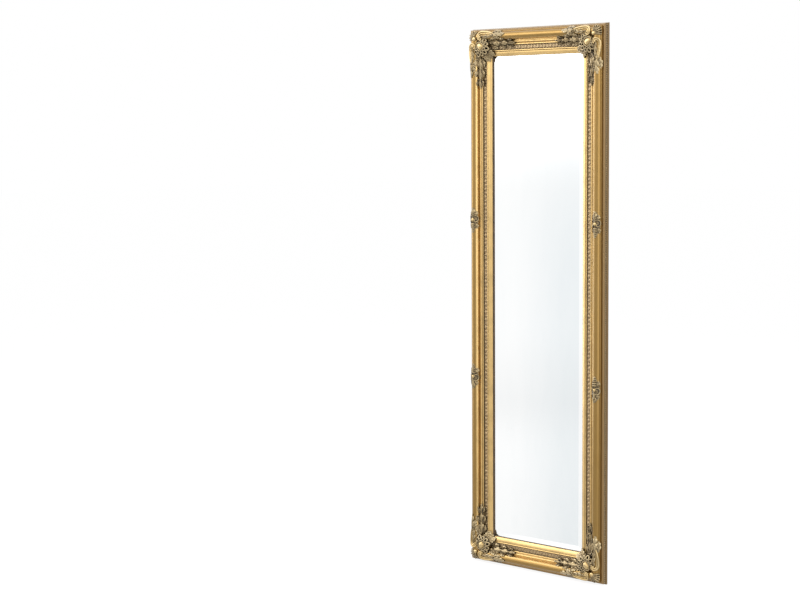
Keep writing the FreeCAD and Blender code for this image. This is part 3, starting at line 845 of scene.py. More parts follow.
class Drape:
    """The rounded ground that carved work lies on, in millimetres from the outer edges."""

    INWARD = (0, 6, 9, 11.5, 14, 18, 23, 28, 32, 35, 38, 42, 48, 57, 66, 72, 78, 82, 92, 120)
    RISE = (
        22.5, 23.5, 26.8, 29, 32, 35, 36.1, 35, 32, 27.5,
        24, 22.6, 21.6, 20.2, 20.4, 19.4, 17, 15, 13.8, 13.8,
    )
    MITRE_SOFTNESS = 5.0

    def rise(self, along: Spots, across: Spots) -> Spots:
        """Height of the ground at places along and across the rails of a corner.

        Args:
            along: Distances from one outer edge.
            across: Distances from the other.

        Returns:
            Heights over the back plane.
        """
        gap = np.abs(along - across)
        blend = np.maximum(self.MITRE_SOFTNESS - gap, 0) ** 2 / (4 * self.MITRE_SOFTNESS)
        return np.interp(np.minimum(along, across) - blend, self.INWARD, self.RISE)


# Moulding and strips


@dataclass
class Moulding:
    """The four mitred lengths of gilt moulding."""

    sizes: FrameSizes
    gilt: Finish
    timber: Finish
    back_rise: float = 0.3 * MM
    inner_share: float = 0.8
    crease: float = 34

    def build(self) -> list[Piece]:
        """Sweep the section along each side, mitre it and dress it."""
        outline = Section(self.sizes).outline()
        return [self.length(side, outline) for side in Side]

    def length(self, side: Side, outline: Spots) -> Piece:
        """One length of moulding.

        Args:
            side: The side it is for.
            outline: The section's corners.

        Returns:
            The dressed length.
        """
        piece = shaped_bar("moulding_" + side.word, outline, self.sizes.mitred(side))
        dress(piece, self.gilt, self.timber)
        for face in piece.data.polygons:
            top = max(-piece.data.vertices[number].co.y for number in face.vertices)
            face.material_index = int(self.bare(face, top))
        soften(piece, self.crease)
        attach(piece, "frame")
        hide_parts(side.value)
        return piece

    def bare(self, face: bpy.types.MeshPolygon, top: float) -> bool:
        """Whether a face takes the dark timber finish: the back, the rebate and the wall beside the glass.

        Args:
            face: The face.
            top: The height of its highest corner.

        Returns:
            True where the face takes the dark timber.
        """
        moulding = self.sizes.moulding
        inward = min(self.sizes.width / 2 - abs(face.center.x), self.sizes.height / 2 - abs(face.center.z))
        under_glass = top < Section.REBATE[0][1] * self.sizes.depth + self.back_rise
        rebate = under_glass and inward > self.inner_share * moulding
        return top < self.back_rise or rebate or inward > moulding - self.back_rise


@dataclass
class LeafStrips:
    """Pressed strips of running leaves in the moulding's channel."""

    sizes: FrameSizes
    gilt: Finish
    outer_share: float = 0.6163
    inner_share: float = 0.7768
    floor_share: float = 0.44
    repeat: float = 23.0 * MM
    sheet: float = 1.0 * MM
    faces_each_repeat: int = 28
    faces_across: int = 14
    crease: float = 60

    def build(self) -> list[Piece]:
        """Press one strip for each side."""
        return [self.strip(side) for side in Side]

    def relief(self, along: Spots, across: Spots) -> Spots:
        """Height of the running leaves over the channel's floor, in millimetres.

        Args:
            along: Places along the strip in repeats.
            across: Places across it, -1 to 1.

        Returns:
            Heights.
        """
        cell = along * 2
        number = np.floor(cell)
        step = cell - number - 0.5
        way = np.where(number % 2 == 0, 1.0, -1.0) * across
        span = arch((way + 0.08) / 0.84) * (0.36 - 0.10 * way)
        leaf = arch(step / np.maximum(span, 0.01))
        vein = bell(step, 0.06) * np.clip(0.7 - way, 0, 1)
        gap = 0.5 - np.abs(step)
        dart = bell(gap, 0.10) * bell(way - 0.42, 0.26)
        bead = bell(gap, 0.12) * bell(way + 0.52, 0.20)
        edges = bell(np.abs(across) - 0.96, 0.06)
        return 0.35 + 2.1 * leaf - 0.7 * vein * leaf + 1.7 * dart + 1.9 * bead + 1.0 * edges

    def strip(self, side: Side) -> Piece:
        """One strip.

        Args:
            side: The side it is for.

        Returns:
            The dressed strip.
        """
        half = self.sizes.half(side)
        outer = self.outer_share * self.sizes.moulding
        inner = self.inner_share * self.sizes.moulding
        faces = round(2 * (half - inner) / self.repeat) * self.faces_each_repeat

        def shape(along: Spots, across: Spots) -> Spots:
            """Corners of the strip's face.

            Args:
                along: Places along it, 0 to 1.
                across: Places across it, -1 to 1.

            Returns:
                Places in the frame.
            """
            inward = (outer + inner) / 2 + across * (inner - outer) / 2
            run = (2 * along - 1) * (half - inward)
            rise = self.floor_share * self.sizes.depth + self.relief(run / self.repeat, across) * MM
            return self.sizes.place(side, run, inward, rise)

        piece = shaped_grid("leaf_band_" + side.word, shape, faces, self.faces_across)
        modify(piece, "SOLIDIFY", thickness=self.sheet, offset=-1.0)
        soften(piece, self.crease)
        dress(piece, self.gilt)
        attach(piece, "frame")
        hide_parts("leaf_strip_" + side.word)
        return piece


@dataclass
class PearlRows:
    """Rows of pearls on a tape in the groove round the outer side."""

    sizes: FrameSizes
    gilt: Finish
    pitch: float = 6.15 * MM
    radius: float = 2.3 * MM
    seat: float = 3.2 * MM
    tape: tuple = (3.4 * MM, 4.18 * MM)
    low: float = 9.6 * MM
    high: float = 14.9 * MM
    pearl_faces: tuple = (10, 6)
    crease: float = 50

    def build(self) -> list[Piece]:
        """String one row for each side."""
        return [self.row(side) for side in Side]

    def row(self, side: Side) -> Piece:
        """One row of pearls on its tape.

        Args:
            side: The side it is for.

        Returns:
            The dressed row.
        """
        face, floor = self.tape
        outline = np.array([(floor, self.low), (face, self.low), (face, self.high), (floor, self.high)])
        tape = shaped_bar("pearl_tape", outline, self.sizes.mitred(side))
        run = 2 * (self.sizes.half(side) - self.seat) - self.pitch
        count = round(run / self.pitch) + 1
        pitch = run / (count - 1)
        middle = (self.low + self.high) / 2
        start = self.sizes.place(side, *np.array([[-run / 2], [self.seat], [middle]]))[0]
        pearls = shaped_ball("pearls", lambda ball: ball * self.radius + start, *self.pearl_faces)
        modify(
            pearls, "ARRAY", count=count, use_relative_offset=False, use_constant_offset=True,
            constant_offset_displace=(pitch, 0, 0) if side.level else (0, 0, pitch),
        )
        piece = join("pearl_row_" + side.word, [tape, pearls])
        soften(piece, self.crease)
        dress(piece, self.gilt)
        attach(piece, "frame")
        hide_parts("pearl_strip_" + side.word)
        return piece


# Carved castings


@dataclass(frozen=True)
class Leaf:
    """A carved leaf along a bent line, in millimetres along and across the rail."""

    root: tuple[float, float]
    bend: tuple[float, float]
    tip: tuple[float, float]
    width: float
    lobes: int
    lift: float = 1.2
    tip_lift: float = 1.4
    crown: float = 2.6
    pleat: float = 1.1
    lean: float = 0.16
    notch: float = 0.55
    thickness: float = 1.8

    def turned(self) -> "Leaf":
        """The same leaf on the other rail, mirrored in the mitre."""
        return replace(self, root=self.root[::-1], bend=self.bend[::-1], tip=self.tip[::-1])

    def surface(self, ground: Shape, along: Spots, across: Spots) -> Spots:
        """The leaf's face.

        Args:
            ground: Gives the height of what carries the leaf.
            along: Places along the leaf, 0 to 1.
            across: Places across it, -1 to 1.

        Returns:
            Rows of (along, across, rise) in millimetres.
        """
        edge = np.abs(across)
        lobe = np.abs(np.cos(math.pi * self.lobes * along)) ** 0.7
        swell = np.minimum(1, 0.45 + 2.2 * along) * np.maximum(1 - along ** 2.6, 0) ** 0.6
        half = self.width * swell * (1 - self.notch * (1 - lobe) * np.minimum(1, 4 * (1 - along) + 0.3))
        root, bend, tip = np.array([self.root, self.bend, self.tip], dtype=float)
        share = np.clip(along + self.lean * edge ** 1.4 * swell, 0, 1.06)[:, None]
        line = (1 - share) ** 2 * root + 2 * share * (1 - share) * bend + share ** 2 * tip
        ahead = 2 * (1 - share) * (bend - root) + 2 * share * (tip - bend)
        ahead /= np.linalg.norm(ahead, axis=1, keepdims=True)
        aside = np.stack([-ahead[:, 1], ahead[:, 0]], axis=1)
        spots = line + aside * (half * across)[:, None]
        rib = bell(edge, 0.12) - 0.9 * bell(edge - 0.27, 0.10)
        veins = (lobe - 0.5) * edge ** 0.8
        rise = ground(*spots.T) + self.lift + (self.tip_lift - self.lift) * along ** 2
        rise = rise + self.crown * swell * (1 - edge ** 2) + 0.8 * rib * swell + self.pleat * veins
        return np.column_stack([spots, rise])


@dataclass
class Carving:
    """Shapes that carved castings are made up of, placed from one origin of the frame."""

    origin: tuple[float, float]
    ground: Shape
    antique: Finish
    bright: Finish
    pieces: list[Piece] = field(default_factory=list)
    ball_faces: tuple = (28, 14)
    crease: float = 62

    def placed(self, spots: Spots) -> Spots:
        """Turn rows of (along, across, rise) in millimetres into places in the frame."""
        along, across, rise = spots.T * MM
        return np.column_stack([self.origin[0] + along, -rise, self.origin[1] + across])

    def keep(self, piece: Piece, finish: Finish) -> None:
        """Dress a shape and add it to the casting."""
        self.pieces.append(dress(piece, finish))

    def sheet(self, shape: Shape, along: int, across: int, thickness: float) -> None:
        """Carve a thick sheet.

        Args:
            shape: Gives its face as rows of (along, across, rise) in millimetres.
            along: Faces along it.
            across: Faces across it.
            thickness: Its thickness in millimetres.
        """
        piece = shaped_grid("sheet", lambda run, side: self.placed(shape(run, side)), along, across)
        modify(piece, "SOLIDIFY", thickness=thickness * MM, offset=-1.0)
        self.keep(piece, self.antique)

    def leaf(self, leaf: Leaf, along: int = 44, across: int = 14) -> None:
        """Carve one leaf, of so many faces along and across."""
        self.sheet(lambda run, side: leaf.surface(self.ground, run, side), along, across, leaf.thickness)

    def roll(self, rows: Spots, finish: Finish, closed: bool = False) -> None:
        """Bend a rounded roll through rows of (along, across, rise, radius) in millimetres."""
        self.keep(tube("roll", self.placed(rows[:, :3]), rows[:, 3] * MM, closed), finish)

    def knob(
        self, spot: Sequence[float], radii: Sequence[float], finish: Finish,
        turn: float = 0.0, point: float = 0.0,
    ) -> None:
        """Set a rounded boss on the carving.

        Args:
            spot: Its middle in millimetres.
            radii: Its half lengths along, across and in height.
            finish: Its finish.
            turn: Degrees it is turned by in the plane of the frame.
            point: How far its near end draws in to a point, 0 to 1.
        """
        def shape(ball: Spots) -> Spots:
            """The boss in the frame."""
            along, across, rise = (ball * radii).T
            plan = swing(along, across * (1 + point * ball[:, 0]), math.radians(turn))
            return self.placed(np.column_stack([plan, rise]) + spot)

        self.keep(shaped_ball("knob", shape, *self.ball_faces), finish)

    def castings(self, stem: str, near: str, far: str) -> list[Piece]:
        """Join the shapes into the casting on the left and mirror it to three other places.

        Args:
            stem: What the castings' names start with.
            near: The word for the height that it was carved at.
            far: The word for the height that it is mirrored to.

        Returns:
            The four castings.
        """
        first = join(f"{stem}_{near}_left", self.pieces)
        soften(first, self.crease)
        castings = [
            first,
            mirrored(first, f"{stem}_{near}_right", (-1, 1, 1)),
            mirrored(first, f"{stem}_{far}_left", (1, 1, -1)),
            mirrored(first, f"{stem}_{far}_right", (-1, 1, -1)),
        ]
        for casting in castings:
            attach(casting, "frame")
            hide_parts(casting.name.replace("carving", "ornament"))
        return castings


@dataclass
class CornerOrnament:
    """The casting over a mitre: shell, scrolls, cabochon in a ruffled fan, and leaf sprays.

    Places, reaches and radii are millimetres, spreads are degrees. A spray's row says where a clump starts,
    where it ends and how wide it is. A scroll's row is a place and a radius. A lobe's rise and radius are
    those of its middle and what its outer end adds.
    """

    sizes: FrameSizes
    antique: Finish
    bright: Finish
    mitre: float = 45.0
    boss: tuple[float, float] = (51.5, 51.5)
    boss_radii: tuple = (13.0, 10.4, 6.6)
    boss_rise: float = 34.5
    boss_point: float = 0.24
    rim_half: tuple = (14.2, 11.6)
    rim_rise: float = 36.9
    rim_radius: float = 1.9
    shell_hinge: tuple[float, float] = (31.5, 31.5)
    shell_reach: float = 29.0
    shell_ribs: int = 7
    shell_spread: float = 112.0
    shell_floor: float = 29.0
    shell_sheet: float = 3.0
    shell_rows: int = 22
    rib_faces: int = 9
    hinge_rise: float = 36.6
    hinge_radii: tuple = (7.0, 6.4, 3.8)
    hinge_radius: float = 2.0
    hinge_point: float = -0.2
    fan_loops: int = 9
    fan_spread: float = 232.0
    fan_reach: float = 25.0
    fan_droop: float = 3.5
    lobe_half: tuple = (5.4, 4.5)
    lobe_rise: tuple = (35.4, -2.6)
    lobe_radius: tuple = (2.2, 0.5)
    collar_inner: float = 10.0
    collar_gap: float = 2.5
    collar_rise: float = 35.2
    collar_sheet: float = 5.0
    collar_faces: tuple = (12, 96)
    spray_line: float = 45.0
    sprays: tuple = ((143, 175, 6.0), (113, 150, 8.2), (84, 121, 10.0))
    scroll: tuple = (
        (57.0, 27.0, 37.6, 2.2), (55.0, 31.0, 36.8, 3.0), (50.0, 31.0, 36.8, 3.7), (46.0, 25.5, 37.2, 4.2),
        (46.5, 18.0, 36.2, 4.6), (51.0, 13.4, 33.8, 4.9), (60.0, 12.0, 32.6, 5.0), (72.0, 12.6, 33.0, 4.9),
        (84.0, 14.0, 33.8, 4.6), (95.0, 16.2, 34.8, 4.0), (104.0, 19.0, 35.8, 3.0), (110.0, 21.5, 36.2, 1.6),
    )
    flute_offset: float = 0.52
    flute_radius: float = 0.60
    eye: tuple = (52.2, 24.2, 37.8)
    eye_radii: tuple = (3.4, 3.4, 2.4)
    leaves: tuple = (
        Leaf((55, 21), (74, 26), (100, 22), 6.0, 3, 0.8, 1.4, crown=2.8, pleat=1.5, notch=0.5),
        Leaf((92, 16), (116, 23), (143, 17), 8.2, 3, 1.6, 2.0, crown=3.4, pleat=1.6, notch=0.55),
        Leaf((98, 20), (110, 31), (126, 29), 5.6, 3, 2.2, 2.6, crown=2.8, pleat=1.4),
        Leaf((94, 14), (110, 7), (128, 11), 5.0, 3, 1.8, 2.0, crown=2.6, pleat=1.4),
        Leaf((68, 40), (86, 43), (102, 31), 6.8, 3, 5.0, 2.0, thickness=4.0),
        Leaf((66, 56), (82, 66), (96, 79), 9.0, 4, 9.0, 3.0, crown=2.8, thickness=4.0),
    )
    middle_leaf: Leaf = Leaf((64, 64), (75, 75), (86, 86), 10.5, 4, 9.0, 3.5, crown=3.0, thickness=4.0)

    def build(self) -> list[Piece]:
        """Carve the bottom left casting and mirror it to the other corners.

        Returns:
            The four castings.
        """
        origin = (-self.sizes.width / 2, -self.sizes.height / 2)
        carving = Carving(origin, Drape().rise, self.antique, self.bright)
        for leaf in (*self.leaves, *self.spray_leaves()):
            carving.leaf(leaf)
            carving.leaf(leaf.turned())
        carving.leaf(self.middle_leaf)
        for carve in (self.carve_scrolls, self.carve_shell, self.carve_fan, self.carve_cabochon):
            carve(carving)
        return carving.castings("corner_carving", "bottom", "top")

    def spray_leaves(self) -> list[Leaf]:
        """The leaves of the spray along one rail, in overlapping clumps of three.

        Returns:
            The leaves, from the far clump to the near one.
        """
        leaves = []
        line = self.spray_line
        for start, tip, width in self.sprays:
            reach = tip - start
            middle = Leaf(
                (start, line), (start + reach / 2, line - 1.5), (tip, line), width, 2, 1.4, 4.0,
                crown=4.6, pleat=1.0, notch=0.42, thickness=4.5,
            )
            leaves.append(middle)
            for way in (-1, 1):
                leaves.append(replace(
                    middle, root=(start + 2, line + 1.5 * way),
                    bend=(start + 0.34 * reach, line + (width + 4.0) * way),
                    tip=(start + 0.74 * reach, line + (width + 3.0) * way),
                    width=0.56 * width, lift=2.2, tip_lift=3.4, crown=3.0, pleat=0.9,
                ))
        return leaves

    def carve_scrolls(self, carving: Carving) -> None:
        """Bend the two long fluted scrolls beside the shell, each with a round eye.

        Args:
            carving: The casting.
        """
        other_rail = [1, 0, 2, 3]
        rows = np.array(self.scroll)
        heading = np.gradient(rows[:, :2], axis=0)
        aside = np.column_stack([-heading[:, 1], heading[:, 0]])
        aside /= np.linalg.norm(heading, axis=1)[:, None]
        for way in (-1, 1):
            flute = rows.copy()
            flute[:, :2] += way * self.flute_offset * rows[:, 3:] * aside
            flute[:, 3] *= self.flute_radius
            carving.roll(flute, self.bright)
            carving.roll(flute[:, other_rail], self.bright)
        along, across, rise = self.eye
        for spot in ((along, across, rise), (across, along, rise)):
            carving.knob(spot, self.eye_radii, self.bright)

    def carve_shell(self, carving: Carving) -> None:
        """Carve the ribbed shell that points to the outer corner, and its hinge.

        Args:
            carving: The casting.
        """
        hinge = np.array(self.shell_hinge)

        def shape(along: Spots, across: Spots) -> Spots:
            """The shell's face.

            Args:
                along: Places outwards, 0 to 1.
                across: Places round it, -1 to 1.

            Returns:
                Rows of (along, across, rise) in millimetres.
            """
            turn = math.radians(self.mitre + 180) + np.radians(self.shell_spread / 2) * across
            wave = np.abs(np.cos(math.pi * self.shell_ribs * (across + 1) / 2 + math.pi / 2))
            rim = self.shell_reach * (1 - 0.20 * across ** 2) * (0.90 + 0.10 * wave)
            spots = hinge + swing(self.hinge_radius + along * (rim - self.hinge_radius), 0, turn)
            rise = np.maximum(carving.ground(*spots.T), self.shell_floor)
            rise = rise + 1.6 + 3.6 * wave ** 0.7 * along ** 0.5 - 3.0 * along ** 6
            return np.column_stack([spots, rise])

        carving.sheet(shape, self.shell_rows, self.rib_faces * self.shell_ribs, self.shell_sheet)
        spot = (*(hinge - self.hinge_radius), self.hinge_rise)
        carving.knob(spot, self.hinge_radii, self.bright, self.mitre, self.hinge_point)

    def carve_fan(self, carving: Carving) -> None:
        """Carve the ruffled collar round the cabochon, with a chain of open lobes along its rim.

        Args:
            carving: The casting.
        """
        centre = np.array(self.boss)
        half_spread = math.radians(self.fan_spread / 2)
        way = np.linspace(0, 2 * math.pi, 10, endpoint=False)
        far = np.cos(way)
        for number, share in enumerate(np.linspace(-1, 1, self.fan_loops)):
            out = self.fan_reach - self.fan_droop * share ** 2 + 1.2 * math.sin(2.4 * number)
            size = 1.0 + 0.12 * math.cos(1.9 * number)
            turn = math.radians(self.mitre) + half_spread * share
            along, across = np.array(self.lobe_half) * size
            spots = centre + swing(out + along * far, across * np.sin(way), turn)
            rise, radius = (middle + swell * far for middle, swell in (self.lobe_rise, self.lobe_radius))
            rows = np.column_stack([spots, rise, radius])
            carving.roll(rows, self.antique, closed=True)

        def collar(along: Spots, across: Spots) -> Spots:
            """The ruffled sheet between the cabochon and the lobes.

            Args:
                along: Places outwards, 0 to 1.
                across: Places round it, -1 to 1.

            Returns:
                Rows of (along, across, rise) in millimetres.
            """
            share = across * 1.06
            ruffle = np.cos(math.pi * (self.fan_loops - 1) * (share + 1))
            width = self.fan_reach - self.collar_inner - self.collar_gap - self.fan_droop * share ** 2
            out = self.collar_inner + along * width
            spots = centre + swing(out, 0, math.radians(self.mitre) + half_spread * share)
            rise = 2.6 * np.sin(math.pi * along) + 1.6 * ruffle * along - 1.6 * along ** 2
            return np.column_stack([spots, self.collar_rise + rise])

        carving.sheet(collar, *self.collar_faces, self.collar_sheet)

    def carve_cabochon(self, carving: Carving) -> None:
        """Set the smooth pointed boss in its rim.

        Args:
            carving: The casting.
        """
        carving.knob((*self.boss, self.boss_rise), self.boss_radii, self.bright, self.mitre, self.boss_point)
        way = np.linspace(0, 2 * math.pi, 16, endpoint=False)
        along, across = self.rim_half
        narrowed = across * np.sin(way) * (1 + self.boss_point * np.cos(way))
        spots = np.array(self.boss) + swing(along * np.cos(way), narrowed, math.radians(self.mitre))
        rows = np.column_stack([spots, np.full((len(way), 2), (self.rim_rise, self.rim_radius))])
        carving.roll(rows, self.antique, closed=True)


@dataclass
class StileOrnament:
    """The small casting on the crest of a stile: a boss between leaf sprays.

    All sizes are millimetres. A curl's row is a place from the crest and a radius. A rib's row says how far
    down it lies, its half width and its half height.
    """

    sizes: FrameSizes
    antique: Finish
    bright: Finish
    crest: float = 23.0
    curl: tuple = (
        (3.0, 13.0, 2.4, 1.6), (9.5, 14.0, 2.4, 2.2), (13.2, 8.0, 1.6, 2.4), (13.0, 0.5, 1.6, 2.4),
        (9.0, -4.5, 2.6, 2.2), (5.6, -1.0, 3.2, 1.9), (8.0, 3.6, 2.8, 1.6),
    )
    ribs: tuple = (
        (-11.0, 8.6, 3.4), (-17.0, 8.0, 3.2), (-23.0, 6.8, 3.0), (-29.0, 5.4, 2.8), (-34.5, 3.8, 2.6),
    )
    rib_rise: float = 35.6
    rib_half: float = 3.3
    leaf_faces: tuple = (32, 12)
    boss_spot: tuple = (23.0, 2.0, 36.6)
    boss_radii: tuple = (4.6, 6.4, 4.3)
    leaves: tuple = (
        Leaf((23, -36), (23, 0), (23, 37), 13.0, 0, 0.5, 0.5, crown=1.2, pleat=0.0, notch=0.0),
        Leaf((23, 10), (24, 26), (23, 38), 8.4, 2, 1.4, 2.0, crown=3.4, notch=0.4),
        Leaf((20, 12), (12, 18), (13, 28), 4.6, 2, 1.4, 1.8, crown=2.4),
        Leaf((26, 12), (34, 18), (33, 28), 4.6, 2, 1.4, 1.8, crown=2.4),
        Leaf((18, -6), (10, -12), (12, -24), 4.4, 2, 1.4, 1.8, crown=2.4),
        Leaf((28, -6), (36, -12), (34, -24), 4.4, 2, 1.4, 1.8, crown=2.4),
    )

    def build(self) -> list[Piece]:
        """Carve the upper left casting and mirror it to the other places.

        Returns:
            The four castings.
        """
        low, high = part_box("stile_ornament_upper_left")
        drape = Drape()
        far_from_mitre = 500.0

        def ground(along: Spots, across: Spots) -> Spots:
            """Height of the stile under the casting."""
            return drape.rise(along, np.full(along.shape, far_from_mitre))

        origin = (-self.sizes.width / 2, (low.z + high.z) / 2)
        carving = Carving(origin, ground, self.antique, self.bright)
        for leaf in self.leaves:
            carving.leaf(leaf, *self.leaf_faces)
        for way in (-1, 1):
            rows = np.array(self.curl) * (way, 1, 1, 1) + (self.crest, 0, 0, 0)
            rows[:, 2] += ground(rows[:, 0], rows[:, 1])
            carving.roll(rows, self.antique)
        for across, half, lift in self.ribs:
            carving.knob((self.crest, across, self.rib_rise), (half, self.rib_half, lift), self.antique)
        carving.knob(self.boss_spot, self.boss_radii, self.bright)
        return carving.castings("stile_carving", "upper", "lower")


# Back of the mirror


@dataclass
class Hangers:
    """The turning rings, their screws and the soft bumpers on the back."""

    steel: Finish
    rubber: Finish
    wire: float = 1.5 * MM
    half_width: float = 11.5 * MM
    bend: float = 2.875 * MM
    drop: float = 19.0 * MM
    tilt: float = 8.0
    holes: tuple = ((6 * MM, 70.0), (18 * MM, 25.0))
    head_radius: float = 3.7 * MM
    head_rise: float = 2.0 * MM
    slot_width: float = 0.9 * MM
    slot_depth: float = 1.0 * MM
    strap_top: float = 2.0 * MM
    sides: tuple = ("left", "right")
    head_faces: tuple = (28, 14)
    pad_faces: tuple = (32, 16)
    ring_crease: float = 60
    head_crease: float = 40
    pad_crease: float = 50

    def build(self) -> list[Piece]:
        """Make the rings, screws and bumpers and dress them and the straps.

        Returns:
            The new pieces.
        """
        for side in self.sides:
            dress(frame["nodes"]["hanger_strap_" + side], self.steel)
        return [*(self.ring(joint) for joint in frame["joints"]), self.screws(), self.bumpers()]

    def ring(self, joint: dict) -> Piece:
        """Bend one ring about its hinge.

        Args:
            joint: The record's hinge.

        Returns:
            The dressed ring.
        """
        shoulder = self.half_width - self.bend
        leg = self.drop - self.half_width
        spots = [(0.0, 0.0), (shoulder, 0.0)]
        for turn in np.radians((60, 30, 0)):
            spots.append((shoulder + self.bend * math.cos(turn), self.bend * (math.sin(turn) - 1)))
        for turn in np.linspace(0, -math.pi, 9):
            spots.append((self.half_width * math.cos(turn), self.half_width * math.sin(turn) - leg))
        spots += [(-across, fall) for across, fall in reversed(spots[1:5])]
        lean = math.radians(self.tilt)
        places = [(across, -fall * math.sin(lean), fall * math.cos(lean)) for across, fall in spots]
        body = joint["child"]
        pivot = np.array(joint["pos_m"])
        piece = tube("hanging_" + body, pivot + np.array(places), [self.wire] * len(places), True, 5)
        soften(piece, self.ring_crease)
        dress(piece, self.steel)
        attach(piece, body)
        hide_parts("hanger_" + body)
        return piece

    def screws(self) -> Piece:
        """Make a slotted screw head for each hole in the straps.

        Returns:
            The dressed heads.
        """
        heads = []
        for side in self.sides:
            low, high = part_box("hanger_strap_" + side)
            for rise, turn in self.holes:
                heads.append(self.screw_head(((low.x + high.x) / 2, low.z + rise), turn))
        piece = join("screw_heads", heads)
        soften(piece, self.head_crease)
        dress(piece, self.steel)
        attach(piece, "frame")
        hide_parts("hanger_screws")
        return piece

    def screw_head(self, spot: tuple[float, float], turn: float) -> Piece:
        """One round head with a slot.

        Args:
            spot: Its place on the back.
            turn: Degrees its slot is turned by.

        Returns:
            The head.
        """
        across, upright = spot
        radius = self.head_radius

        def shape(ball: Spots) -> Spots:
            """The upper half of a flattened ball on a flat seat."""
            rise = self.strap_top + np.maximum(ball[:, 2], 0) * self.head_rise
            return np.column_stack([across + ball[:, 0] * radius, rise, upright + ball[:, 1] * radius])

        head = shaped_ball("screw_head", shape, *self.head_faces)
        edit_faces(head, lambda: bpy.ops.mesh.remove_doubles(threshold=0.01 * MM))
        face_outwards(head)
        cutter = add(
            "slot_cutter", bpy.ops.mesh.primitive_cube_add, size=1, rotation=(0, math.radians(turn), 0),
            location=(across, self.strap_top + self.head_rise, upright),
        )
        cutter.scale = (3 * radius, 2 * self.slot_depth, self.slot_width)
        bpy.ops.object.transform_apply(location=True, rotation=True, scale=True)
        modify(head, "BOOLEAN", operation="DIFFERENCE", object=cutter, solver="EXACT")
        bpy.data.objects.remove(cutter)
        return head

    def bumpers(self) -> Piece:
        """Turn the two rounded pads.

        Returns:
            The dressed pads.
        """
        low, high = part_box("wall_bumpers")
        radius = (high.z - low.z) / 2
        pads = []
        for middle in (low.x + radius, high.x - radius):
            def shape(ball: Spots, middle: float = middle) -> Spots:
                """A pad with a softly domed top.

                Args:
                    ball: Corners of a unit ball.
                    middle: The pad's place across the frame.

                Returns:
                    Places in the frame.
                """
                width = np.hypot(ball[:, 0], ball[:, 1])
                up = np.maximum(ball[:, 2], 0)
                rise = np.clip(up * 1.5, 0, 1) ** 0.8 * (high.y - low.y)
                wall = radius * (1 - 0.12 * up) / np.maximum(width, 1e-6) * np.minimum(1, width * 1e6)
                flare = np.where(ball[:, 2] > 0.55, radius, wall)
                plan = ball[:, :2] * flare[:, None] + (middle, low.z + radius)
                return np.column_stack([plan[:, 0], low.y + rise, plan[:, 1]])

            pads.append(shaped_ball("pad", shape, *self.pad_faces))
        piece = join("soft_bumpers", pads)
        soften(piece, self.pad_crease)
        dress(piece, self.rubber)
        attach(piece, "frame")
        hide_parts("wall_bumpers")
        return piece


@dataclass
class GlassAndBack:
    """The bevelled glass, its backing board and the small steel that holds the frame together."""

    glass: Finish
    board: Finish
    steel: Finish

    def build(self) -> list[Piece]:
        """Dress the solids that show as they are.

        Returns:
            The solids.
        """
        finishes = {
            "mirror_glass": self.glass, "backing_board": self.board, "backing_points": self.steel,
            "corner_nails": self.steel,
        }
        return [dress(frame["nodes"][node], finish) for node, finish in finishes.items()]


# Studio


